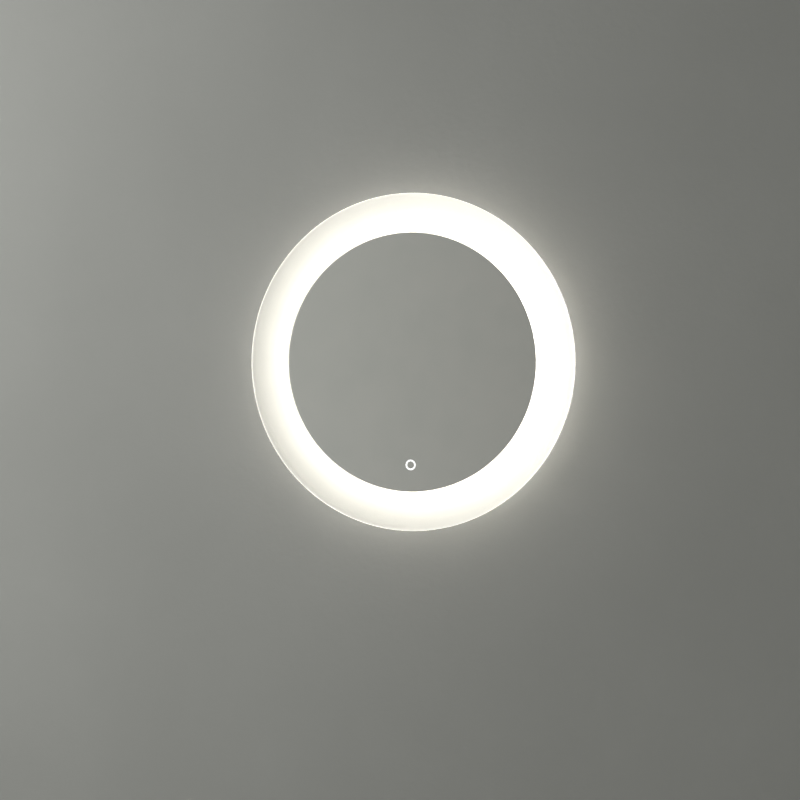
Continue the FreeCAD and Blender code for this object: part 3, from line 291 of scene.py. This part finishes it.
# The painted glow sinks towards the edge, most at the lower left, a painted shade; at the upper right it
# brightens a little instead.
outer = add(etched_float_glass, "MapRange", {
    "Value": radius, "From Min": silver_radius, "From Max": glass_radius,
})
# Painted shade across the plate, darkest at the lower left, dims the glow.
brightest_glow_side = Vector((math.cos(brightest_glow_angle), 0, math.sin(brightest_glow_angle)))
along = add(etched_float_glass, "VectorMath", {0: spot, 1: brightest_glow_side}, operation="DOT_PRODUCT")
middle = brightest_glow_side.dot(Vector((0, 0, glass_centre.z)))
shade_lean = add(etched_float_glass, "MapRange", {
    "Value": along.outputs["Value"], "From Min": middle - glass_radius, "From Max": middle + glass_radius,
    "To Min": shade_at_dim_side, "To Max": shade_at_bright_side,
})
painted_shade = add(etched_float_glass, "Math", {0: outer.outputs[0], 1: shade_lean.outputs[0]}, operation="MULTIPLY")
fade = add(etched_float_glass, "MapRange", {
    "Value": painted_shade.outputs[0], "To Min": glow_inside, "To Max": glow_outside,
})
# The grains make the painted glow sparkle, lighter and darker from grain to grain.
sparkle = add(etched_float_glass, "MapRange", {
    "Value": grit.outputs["Fac"], "From Min": noise_low, "From Max": noise_high,
    "To Min": sparkle_least, "To Max": sparkle_most,
})
glow = add(etched_float_glass, "Math", {0: fade.outputs[0], 1: sparkle.outputs[0]}, operation="MULTIPLY")
glow = add(etched_float_glass, "Math", {0: glow.outputs[0], 1: etched.outputs[0]}, operation="MULTIPLY")
glow = add(etched_float_glass, "Math", {0: glow.outputs[0], 1: front.outputs[0]}, operation="MULTIPLY")
# A thin painted glow at the front of the polished arris stands in for the light that the plate carries to
# its edge.
rim = add(etched_float_glass, "Math", {0: radius, 1: glass_radius - rim_inset, 2: rim_half_width},
          operation="COMPARE")
rim_front = add(etched_float_glass, "Math", {0: depth, 1: glass_front + arris}, operation="LESS_THAN")
rim_glow = add(etched_float_glass, "MapRange", {"Value": rim_front.outputs[0], "To Max": rim_strength})
rim = add(etched_float_glass, "Math", {0: rim.outputs[0], 1: rim_glow.outputs[0]}, operation="MULTIPLY")
glow = add(etched_float_glass, "Math", {0: glow.outputs[0], 1: rim.outputs[0]}, operation="MAXIMUM")
grains = add(etched_float_glass, "Math", {0: grit.outputs["Fac"], 1: etched.outputs[0]},
             operation="MULTIPLY")
relief = add(etched_float_glass, "Bump", {
    "Height": grains.outputs[0], "Strength": 0.4, "Distance": etch_depth,
})
put(etched_float_glass, shader, {
    "Base Color": body.outputs[2], "Roughness": matt.outputs[0], "IOR": 1.52, "Transmission Weight": 1.0,
    "Normal": relief.outputs[0],
    "Emission Color": linear("#fffdf4"), "Emission Strength": glow.outputs[0],
})
dress(etched_float_glass, "mirror_glass")


# ---------------------------------------------------------------------------
# Silvering. A bright silver coat on the back of the glass under a grey paint
# that protects it. A thin ring is left clear in it for the touch switch.
# It lies just clear of the glass, because two faces in one plane make spots.
clear_of_glass, silver_thickness = 0.00003, 0.00014
silver_face = glass_back + clear_of_glass
# The ring is narrower than in the solid, by 0.2 mm outside and 0.4 mm inside: its light spreads.
switch_drop, ring_outer, ring_inner, disc_rim = 0.1825, 0.0093, 0.0064, 0.0012
switch_centre = (0, silver_face, glass_centre.z - switch_drop)
coat_steps, ring_steps, disc_steps = 256, 64, 48
weld_distance = 0.000001

bpy.ops.object.select_all(action="DESELECT")
bpy.ops.mesh.primitive_circle_add(vertices=coat_steps, radius=silver_radius, fill_type="NOTHING",
                                  location=(0, silver_face, glass_centre.z), rotation=upright)
silver_coat = bpy.context.object
silver_coat.name = "silver_coat"
bpy.ops.object.transform_apply(location=True, rotation=True, scale=True)
bpy.ops.object.mode_set(mode="EDIT")
bpy.ops.mesh.primitive_circle_add(vertices=ring_steps, radius=ring_outer, fill_type="NOTHING",
                                  location=switch_centre, rotation=upright)
bpy.ops.mesh.select_all(action="SELECT")
bpy.ops.mesh.fill(use_beauty=True)
bpy.ops.mesh.select_all(action="DESELECT")
bpy.ops.mesh.primitive_circle_add(vertices=disc_steps, radius=ring_inner, fill_type="NGON",
                                  location=switch_centre, rotation=upright)
bpy.ops.mesh.inset(thickness=disc_rim)
bpy.ops.mesh.select_all(action="SELECT")
bpy.ops.mesh.remove_doubles(threshold=weld_distance)
bpy.ops.mesh.normals_make_consistent(inside=False)
bpy.ops.object.mode_set(mode="OBJECT")
if silver_coat.data.polygons[0].normal.y > 0:
    silver_coat.data.flip_normals()
wall_of_coat = silver_coat.modifiers.new("coat", "SOLIDIFY")
wall_of_coat.thickness = silver_thickness
wall_of_coat.offset = -1
bpy.ops.object.modifier_apply(modifier="coat")

# Wet-deposited silver: a true mirror, with only a breath of haze in patches.
haze_mm = 60

bright_silvering, shader = new_material("bright_silvering")
spot = add(bright_silvering, "TexCoord").outputs["Object"]
haze = add(bright_silvering, "TexNoise", {"Vector": spot, "Scale": 1000 / haze_mm, "Detail": 3})
tone = add(bright_silvering, "ValToRGB", {"Fac": haze.outputs["Fac"]})
put(bright_silvering, shader, {
    "Base Color": shade(tone, (noise_low, "#f1f2f0"), (noise_high, "#f5f5f3")), "Metallic": 1.0,
    "Roughness": 0.004,
})

# Roller-coated backing paint, grey, with the roller's orange peel.
peel_mm, peel_depth = 1.8, 0.0002

backing_paint, shader = new_material("backing_paint")
spot = add(backing_paint, "TexCoord").outputs["Object"]
peel = add(backing_paint, "TexNoise", {"Vector": spot, "Scale": 1000 / peel_mm, "Detail": 2})
relief = add(backing_paint, "Bump", {
    "Height": peel.outputs["Fac"], "Strength": 0.3, "Distance": peel_depth,
})
tone = add(backing_paint, "ValToRGB", {"Fac": peel.outputs["Fac"]})
put(backing_paint, shader, {
    "Base Color": shade(tone, (noise_low, "#757b7a"), (noise_high, "#828886")), "Roughness": 0.55,
    "Normal": relief.outputs[0],
})

silver_coat.data.materials.append(bright_silvering)
silver_coat.data.materials.append(backing_paint)
for face in silver_coat.data.polygons:
    looks_back = face.normal.y > 0.5
    face.material_index = 1 if looks_back else 0
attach(silver_coat, "mirror")
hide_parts("mirror_silvering")


# ---------------------------------------------------------------------------
# Safety film. A woven white polyethylene film, stuck over the backing paint so
# that broken glass holds together. Its weave is about 1.6 mm across.
band_width = math.pi / 10  # of a wave texture of scale 1, in its own units
weave_mm, weave_depth = 1.6, 0.0001

woven_film, shader = new_material("woven_polyethylene_film")
spot = add(woven_film, "TexCoord").outputs["Object"]
warp = add(woven_film, "TexWave", {"Vector": spot, "Scale": 1000 / weave_mm * band_width},
           bands_direction="X")
weft = add(woven_film, "TexWave", {"Vector": spot, "Scale": 1000 / weave_mm * band_width},
           bands_direction="Z")
weave = add(woven_film, "Math", {0: warp.outputs["Fac"], 1: weft.outputs["Fac"]}, operation="MAXIMUM")
relief = add(woven_film, "Bump", {"Height": weave.outputs[0], "Strength": 0.5, "Distance": weave_depth})
tone = add(woven_film, "ValToRGB", {"Fac": weave.outputs[0]})
put(woven_film, shader, {
    "Base Color": shade(tone, (0.2, "#bfc4c4"), (0.9, "#d9dcdb")), "Roughness": 0.42,
    "Normal": relief.outputs[0],
})
dress(woven_film, "safety_film")


# ---------------------------------------------------------------------------
# Bonding tape. A ring of double-sided closed-cell foam tape between the film
# and the chassis carries the glass. Its cut edges show the cells.
cell_mm, cell_depth = 0.5, 0.0002

foam_tape, shader = new_material("closed_cell_foam")
spot = add(foam_tape, "TexCoord").outputs["Object"]
cells = add(foam_tape, "TexVoronoi", {"Vector": spot, "Scale": 1000 / cell_mm})
relief = add(foam_tape, "Bump", {
    "Height": cells.outputs["Distance"], "Strength": 0.6, "Distance": cell_depth,
})
tone = add(foam_tape, "ValToRGB", {"Fac": cells.outputs["Distance"]})
put(foam_tape, shader, {
    "Base Color": shade(tone, (0.0, "#d5d4cd"), (0.5, "#efeee9")), "Roughness": 0.85,
    "Normal": relief.outputs[0],
})
dress(foam_tape, "bonding_tape")


# ---------------------------------------------------------------------------
# Chassis ring. An aluminium extrusion rolled into a hoop and satin anodised.
# The die and the rolls leave fine lines that run round it.
die_line_mm, die_line_depth, bath_cloud_mm = 0.9, 0.00005, 25


def round_lines(material, spot, line_mm):
    """Noise drawn out round the glass's axis, its lines that far apart."""
    radius = from_centre(material, spot)
    depth = add(material, "SeparateXYZ", {0: spot}).outputs["Y"]
    section = add(material, "CombineXYZ", {0: radius, 1: depth})
    drawn = add(material, "TexNoise", {"Vector": section.outputs[0], "Scale": 1000 / line_mm, "Detail": 3})
    return drawn.outputs["Fac"]


satin_anodised, shader = new_material("satin_anodised_aluminium")
spot = add(satin_anodised, "TexCoord").outputs["Object"]
lines = round_lines(satin_anodised, spot, die_line_mm)
cloud = add(satin_anodised, "TexNoise", {"Vector": spot, "Scale": 1000 / bath_cloud_mm, "Detail": 3})
tone = add(satin_anodised, "ValToRGB", {"Fac": lines})
matt = add(satin_anodised, "MapRange", {
    "Value": cloud.outputs["Fac"], "From Min": noise_low, "From Max": noise_high,
    "To Min": 0.30, "To Max": 0.42,
})
relief = add(satin_anodised, "Bump", {"Height": lines, "Strength": 0.25, "Distance": die_line_depth})
put(satin_anodised, shader, {
    "Base Color": shade(tone, (noise_low, "#bdbfc1"), (noise_high, "#d0d2d3")), "Metallic": 1.0,
    "Roughness": matt.outputs[0], "Normal": relief.outputs[0],
})
dress(satin_anodised, "chassis_ring")


# ---------------------------------------------------------------------------
# LED strip. A white flexible strip is stuck round the hoop, with an LED every
# 8.3 mm: yellow phosphor under silicone, in a white frame.
def waves_round(material, spot, waves):
    """A cosine that rises and falls that many times round the glass's axis."""
    place = add(material, "SeparateXYZ", {0: spot})
    drop = add(material, "Math", {0: place.outputs["Z"], 1: glass_centre.z}, operation="SUBTRACT")
    turn = add(material, "Math", {0: drop.outputs[0], 1: place.outputs["X"]}, operation="ARCTAN2")
    turns = add(material, "Math", {0: turn.outputs[0], 1: waves}, operation="MULTIPLY")
    return add(material, "Math", {0: turns.outputs[0]}, operation="COSINE").outputs[0]


# White solder mask, with bare copper pads at each cutting mark, 50 mm apart.
cuts_round, mask_peel_mm, mask_peel_depth = 27.0, 1.5, 0.0001

white_laminate, shader = new_material("white_flex_laminate")
spot = add(white_laminate, "TexCoord").outputs["Object"]
cuts = waves_round(white_laminate, spot, cuts_round)
tone = add(white_laminate, "ValToRGB", {"Fac": cuts})
orange_peel = add(white_laminate, "TexNoise", {"Vector": spot, "Scale": 1000 / mask_peel_mm, "Detail": 2})
relief = add(white_laminate, "Bump", {
    "Height": orange_peel.outputs["Fac"], "Strength": 0.2, "Distance": mask_peel_depth,
})
put(white_laminate, shader, {
    "Base Color": shade(tone, (0.96, "#f1f1ed"), (0.985, "#c98a55")), "Roughness": 0.32,
    "Normal": relief.outputs[0],
})
dress(white_laminate, "led_strip")

# Yellow powder cast in clear silicone, faintly speckled, and lit from within.
powder_mm = 0.6

led_phosphor, shader = new_material("phosphor_in_silicone")
spot = add(led_phosphor, "TexCoord").outputs["Object"]
powder = add(led_phosphor, "TexNoise", {"Vector": spot, "Scale": 1000 / powder_mm, "Detail": 3})
tone = add(led_phosphor, "ValToRGB", {"Fac": powder.outputs["Fac"]})
put(led_phosphor, shader, {
    "Base Color": shade(tone, (noise_low, "#edd25f"), (noise_high, "#f6e68c")), "Roughness": 0.3,
    "Emission Color": linear("#fff4d6"), "Emission Strength": 1.0,
})
led_phosphor.cycles.emission_sampling = "NONE"
dress(led_phosphor, "led_packages", "sensor_leds")


# ---------------------------------------------------------------------------
# Opal diffuser. An extruded opal acrylic cover, bent round the hoop over the
# strip, that spreads the LEDs into one even band of light.
# The band is a shade warmer between the LEDs, under the fine matt skin of the extrusion.
leds_round, skin_mm, skin_depth, band_strength = 163.0, 0.8, 0.0001, 17.5

opal_acrylic, shader = new_material("opal_acrylic")
spot = add(opal_acrylic, "TexCoord").outputs["Object"]
leds = waves_round(opal_acrylic, spot, leds_round)
spread = add(opal_acrylic, "MapRange", {"Value": leds, "From Min": -1.0})
tone = add(opal_acrylic, "ValToRGB", {"Fac": spread.outputs[0]})
skin = add(opal_acrylic, "TexNoise", {"Vector": spot, "Scale": 1000 / skin_mm, "Detail": 2})
relief = add(opal_acrylic, "Bump", {
    "Height": skin.outputs["Fac"], "Strength": 0.2, "Distance": skin_depth,
})
put(opal_acrylic, shader, {
    "Base Color": linear("#f6f6f2"), "Roughness": 0.35, "Normal": relief.outputs[0],
    "Emission Color": shade(tone, (0.0, "#fff4ec"), (1.0, "#fffaf6")), "Emission Strength": band_strength,
})
dress(opal_acrylic, "opal_diffuser")


# ---------------------------------------------------------------------------
# Nylon and rubber parts. The strip's connector, the terminal block and the
# lead clips are moulded nylon; the bush, grommet and bumpers are soft rubber.
flow_mm = 9


def moulded(name, dark, light, pit_mm, deep_mm, matt):
    """A moulded plastic or rubber, with the pits of its spark-eroded mould."""
    made, shader = new_material(name)
    spot = add(made, "TexCoord").outputs["Object"]
    flow = add(made, "TexNoise", {"Vector": spot, "Scale": 1000 / flow_mm, "Detail": 4})
    pits = add(made, "TexVoronoi", {"Vector": spot, "Scale": 1000 / pit_mm})
    relief = add(made, "Bump", {
        "Height": pits.outputs["Distance"], "Strength": 0.5, "Distance": deep_mm / 1000,
    })
    rubbed = add(made, "MapRange", {
        "Value": flow.outputs["Fac"], "From Min": noise_low, "From Max": noise_high,
        "To Min": matt - 0.06, "To Max": matt + 0.08,
    })
    tone = add(made, "ValToRGB", {"Fac": flow.outputs["Fac"]})
    put(made, shader, {
        "Base Color": shade(tone, (noise_low, dark), (noise_high, light)), "Roughness": rubbed.outputs[0],
        "Normal": relief.outputs[0],
    })
    return made


# Nylon keeps a waxy half shine. Rubber is nearly dull, and never quite black.
dress(moulded("moulded_nylon", "#e2e0d8", "#eeece6", pit_mm=0.7, deep_mm=0.03, matt=0.42),
      "strip_connector", "terminal_block", "lead_clips")
dress(moulded("moulded_rubber", "#161616", "#232322", pit_mm=0.5, deep_mm=0.05, matt=0.72),
      "lead_bush", "cable_grommet", "wall_bumpers")


# ---------------------------------------------------------------------------
# Back panel. A disc of mill-finish sheet aluminium closes the back. Rolling
# leaves fine lines across it, and handling a few pale scuffs.
roll_line_mm, roll_line_depth, line_stretch, scuff_mm = 1.2, 0.00006, 50, 40

mill_aluminium, shader = new_material("mill_finish_aluminium")
spot = add(mill_aluminium, "TexCoord").outputs["Object"]
along = add(mill_aluminium, "Mapping", {"Vector": spot, "Scale": (1 / line_stretch, 1.0, 1.0)})
lines = add(mill_aluminium, "TexNoise", {
    "Vector": along.outputs[0], "Scale": 1000 / roll_line_mm, "Detail": 4,
})
scuffs = add(mill_aluminium, "TexNoise", {
    "Vector": spot, "Scale": 1000 / scuff_mm, "Detail": 5, "Distortion": 1.5,
})
tone = add(mill_aluminium, "ValToRGB", {"Fac": lines.outputs["Fac"]})
matt = add(mill_aluminium, "MapRange", {
    "Value": scuffs.outputs["Fac"], "From Min": noise_low, "From Max": noise_high,
    "To Min": 0.28, "To Max": 0.48,
})
relief = add(mill_aluminium, "Bump", {
    "Height": lines.outputs["Fac"], "Strength": 0.3, "Distance": roll_line_depth,
})
put(mill_aluminium, shader, {
    "Base Color": shade(tone, (noise_low, "#c8cbcd"), (noise_high, "#dcdedf")), "Metallic": 1.0,
    "Roughness": matt.outputs[0], "Normal": relief.outputs[0],
})
dress(mill_aluminium, "back_panel")


# ---------------------------------------------------------------------------
# Screws, rivets and terminals. Screws are zinc plated and passivated, rivets
# are bright aluminium, clamps turned brass, the earth tag tinned copper.
tool_mark_mm, tool_mark_depth = 0.4, 0.00004


def plated(name, dark, light, patch_mm, matt):
    """A turned, pressed or plated metal whose colour drifts from patch to patch."""
    made, shader = new_material(name)
    spot = add(made, "TexCoord").outputs["Object"]
    patch = add(made, "TexNoise", {"Vector": spot, "Scale": 1000 / patch_mm, "Detail": 3})
    marks = add(made, "TexNoise", {"Vector": spot, "Scale": 1000 / tool_mark_mm, "Detail": 2})
    relief = add(made, "Bump", {
        "Height": marks.outputs["Fac"], "Strength": 0.25, "Distance": tool_mark_depth,
    })
    worn = add(made, "MapRange", {
        "Value": patch.outputs["Fac"], "From Min": noise_low, "From Max": noise_high,
        "To Min": matt - 0.06, "To Max": matt + 0.10,
    })
    tone = add(made, "ValToRGB", {"Fac": patch.outputs["Fac"]})
    put(made, shader, {
        "Base Color": shade(tone, (noise_low, dark), (noise_high, light)), "Metallic": 1.0,
        "Roughness": worn.outputs[0], "Normal": relief.outputs[0],
    })
    return made


dress(plated("zinc_plated_steel", "#b4b7ba", "#cfcfc6", patch_mm=3, matt=0.28),
      "back_panel_screws", "driver_screws", "terminal_fixing_screw", "earth_screw")
dress(plated("bright_aluminium_rivet", "#c6c8ca", "#dadbdb", patch_mm=2, matt=0.26), "hanger_rivets")
dress(plated("turned_brass", "#c39a4e", "#dcbd78", patch_mm=2, matt=0.24), "terminal_screws")
dress(plated("tinned_copper", "#b9b8b2", "#cfcec8", patch_mm=3, matt=0.30), "earth_tag")


# ---------------------------------------------------------------------------
# Hanger rail and wall rail. Both are pressed from hot-dip galvanised steel,
# and the zinc's crystals show as a dull spangle some 7 mm across.
spangle_mm, spangle_wander_mm, spangle_shift, zinc_depth = 7, 4, 0.003, 0.0001

galvanised_steel, shader = new_material("galvanised_steel")
spot = add(galvanised_steel, "TexCoord").outputs["Object"]
wander = add(galvanised_steel, "TexNoise", {
    "Vector": spot, "Scale": 1000 / spangle_wander_mm, "Detail": 3,
})
shift = add(galvanised_steel, "VectorMath", {0: wander.outputs["Color"], 1: [spangle_shift] * 3},
            operation="MULTIPLY")
bent = add(galvanised_steel, "VectorMath", {0: spot, 1: shift.outputs[0]}, operation="ADD")
spangle = add(galvanised_steel, "TexVoronoi", {"Vector": bent.outputs[0], "Scale": 1000 / spangle_mm})
grey = add(galvanised_steel, "SeparateColor", {0: spangle.outputs["Color"]})
tone = add(galvanised_steel, "ValToRGB", {"Fac": grey.outputs[0]})
matt = add(galvanised_steel, "MapRange", {"Value": grey.outputs[1], "To Min": 0.34, "To Max": 0.52})
relief = add(galvanised_steel, "Bump", {
    "Height": wander.outputs["Fac"], "Strength": 0.2, "Distance": zinc_depth,
})
put(galvanised_steel, shader, {
    "Base Color": shade(tone, (0.0, "#aab0b3"), (1.0, "#ccd0d2")), "Metallic": 1.0,
    "Roughness": matt.outputs[0], "Normal": relief.outputs[0],
})
dress(galvanised_steel, "hanger_rail", "wall_rail")


# ---------------------------------------------------------------------------
# LED driver. A closed case of white polycarbonate with a finely pitted skin
# holds a green circuit board, its transformer and its capacitors.
dress(moulded("white_polycarbonate", "#dedcd4", "#e9e8e2", pit_mm=0.6, deep_mm=0.04, matt=0.46),
      "driver_base", "driver_lid")

# Glossy green mask over etched copper, its tracks a shade lighter than the gaps.
track_cell_mm, track_depth = 12, 0.00005

green_laminate, shader = new_material("solder_masked_laminate")
spot = add(green_laminate, "TexCoord").outputs["Object"]
flat = add(green_laminate, "Mapping", {"Vector": spot, "Rotation": (math.radians(-90), 0, 0)})
tracks = add(green_laminate, "TexBrick", {
    "Vector": flat.outputs[0],
    "Color1": linear("#1c6a3c"), "Color2": linear("#20744a"), "Mortar": linear("#134c2b"),
    "Scale": 1000 / track_cell_mm, "Mortar Size": 0.02, "Brick Width": 3.6, "Row Height": 0.16,
})
relief = add(green_laminate, "Bump", {
    "Height": tracks.outputs["Fac"], "Strength": 0.3, "Distance": track_depth,
})
put(green_laminate, shader, {
    "Base Color": tracks.outputs["Color"], "Roughness": 0.3, "Normal": relief.outputs[0],
})
dress(green_laminate, "driver_board", "sensor_board")

# Sintered and ground: near black and half matt, mottled by its grain.
ferrite_grain_mm, ferrite_depth = 0.5, 0.00008

ground_ferrite, shader = new_material("ground_ferrite")
spot = add(ground_ferrite, "TexCoord").outputs["Object"]
grain = add(ground_ferrite, "TexNoise", {"Vector": spot, "Scale": 1000 / ferrite_grain_mm, "Detail": 4})
tone = add(ground_ferrite, "ValToRGB", {"Fac": grain.outputs["Fac"]})
relief = add(ground_ferrite, "Bump", {
    "Height": grain.outputs["Fac"], "Strength": 0.3, "Distance": ferrite_depth,
})
put(ground_ferrite, shader, {
    "Base Color": shade(tone, (0.35, "#2a2a2d"), (0.7, "#3c3c40")), "Roughness": 0.48,
    "Normal": relief.outputs[0],
})
dress(ground_ferrite, "transformer_core")

# Thin glossy tape, its amber deeper where one turn laps the next.
tape_turn_mm, tape_depth = 2.4, 0.0001

winding_tape, shader = new_material("polyester_winding_tape")
spot = add(winding_tape, "TexCoord").outputs["Object"]
turns = add(winding_tape, "TexWave", {
    "Vector": spot, "Scale": 1000 / tape_turn_mm * band_width, "Distortion": 0.6,
}, bands_direction="X")
tone = add(winding_tape, "ValToRGB", {"Fac": turns.outputs["Fac"]})
relief = add(winding_tape, "Bump", {
    "Height": turns.outputs["Fac"], "Strength": 0.4, "Distance": tape_depth,
})
put(winding_tape, shader, {
    "Base Color": shade(tone, (0.1, "#c79a17"), (0.6, "#e2b62f")), "Roughness": 0.22,
    "Normal": relief.outputs[0],
})
dress(winding_tape, "transformer_winding")

# A PVC sleeve shrunk over each can: dark, shiny and drawn into slight ripples.
sleeve_pull_mm, sleeve_depth = 3, 0.00015

shrink_sleeve, shader = new_material("capacitor_shrink_sleeve")
spot = add(shrink_sleeve, "TexCoord").outputs["Object"]
pull = add(shrink_sleeve, "TexNoise", {"Vector": spot, "Scale": 1000 / sleeve_pull_mm, "Detail": 2})
tone = add(shrink_sleeve, "ValToRGB", {"Fac": pull.outputs["Fac"]})
relief = add(shrink_sleeve, "Bump", {
    "Height": pull.outputs["Fac"], "Strength": 0.3, "Distance": sleeve_depth,
})
put(shrink_sleeve, shader, {
    "Base Color": shade(tone, (noise_low, "#181c26"), (noise_high, "#262c3a")), "Roughness": 0.2,
    "Normal": relief.outputs[0],
})
dress(shrink_sleeve, "input_capacitor", "output_capacitors")


# ---------------------------------------------------------------------------
# Touch switch. A black ABS box behind the clear ring holds a small board. Its
# LEDs light a clear acrylic guide whose matt back turns the light forwards.
# The same mould finish on black ABS gives a half matt, nearly black skin.
dress(moulded("black_abs", "#17181a", "#222326", pit_mm=0.5, deep_mm=0.03, matt=0.5),
      "sensor_housing", "sensor_lid")

# Turned from clear acrylic, with a fine speckle from the dots on its matt back.
speckle_mm, ring_strength = 1.2, 0.95

lit_guide, shader = new_material("edge_lit_clear_acrylic")
spot = add(lit_guide, "TexCoord").outputs["Object"]
speckle = add(lit_guide, "TexNoise", {"Vector": spot, "Scale": 1000 / speckle_mm, "Detail": 2})
tone = add(lit_guide, "ValToRGB", {"Fac": speckle.outputs["Fac"]})
put(lit_guide, shader, {
    "Base Color": linear("#eef2f4"), "Roughness": 0.25, "IOR": 1.49,
    "Emission Color": shade(tone, (noise_low, "#f6f7f5"), (noise_high, "#ffffff")),
    "Emission Strength": ring_strength,
})
dress(lit_guide, "icon_light_guide")


# ---------------------------------------------------------------------------
# Leads. Each core has a smooth extruded PVC jacket: brown and blue from the
# terminals, green and yellow for the earth, white for the low-voltage pairs.
die_wave_mm, die_wave_depth, stripe_mm = 2.5, 0.00008, 5


def jacket(name, tone_of, matt):
    """An extruded jacket with the faint waves of the die and a waxy shine."""
    made, shader = new_material(name)
    spot = add(made, "TexCoord").outputs["Object"]
    waves = add(made, "TexNoise", {"Vector": spot, "Scale": 1000 / die_wave_mm, "Detail": 2})
    relief = add(made, "Bump", {
        "Height": waves.outputs["Fac"], "Strength": 0.25, "Distance": die_wave_depth,
    })
    put(made, shader, {
        "Base Color": tone_of(made, spot, waves.outputs["Fac"]), "Roughness": matt,
        "Normal": relief.outputs[0],
    })
    return made


def brown_and_blue(material, spot, waves):
    """Live and neutral run side by side, the live one above."""
    height = add(material, "SeparateXYZ", {0: spot}).outputs["Z"]
    low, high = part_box("driver_input_leads")
    upper = add(material, "Math", {0: height, 1: (low.z + high.z) / 2}, operation="GREATER_THAN")
    live = add(material, "ValToRGB", {"Fac": waves})
    neutral = add(material, "ValToRGB", {"Fac": waves})
    return add(material, "Mix", {
        0: upper.outputs[0], 6: shade(neutral, (noise_low, "#1f4f93"), (noise_high, "#2a61ab")),
        7: shade(live, (noise_low, "#5b3120"), (noise_high, "#6d3d29")),
    }, data_type="RGBA").outputs[2]


def green_and_yellow(material, spot, waves):
    """Two-colour earth jacket, its stripes wound round in 5 mm turns."""
    # Diagonal bands are twice as wide, measured along an axis.
    bands = add(material, "TexWave", {"Vector": spot, "Scale": 1000 / stripe_mm * band_width * 2},
                bands_direction="DIAGONAL")
    tone = add(material, "ValToRGB", {"Fac": bands.outputs["Fac"]})
    return shade(tone, (0.0, "#2e8b3d"), (0.56, "#37954a"), (0.60, "#e5cb2c"), (1.0, "#edd63f"))


def plain_white(material, spot, waves):
    """White jacket, a little greyed by handling."""
    tone = add(material, "ValToRGB", {"Fac": waves})
    return shade(tone, (noise_low, "#e2e2de"), (noise_high, "#efefec"))


dress(jacket("brown_and_blue_pvc", brown_and_blue, matt=0.3), "driver_input_leads")
dress(jacket("green_and_yellow_pvc", green_and_yellow, matt=0.3), "earth_lead")
dress(jacket("white_pvc", plain_white, matt=0.34), "driver_output_lead", "strip_lead")
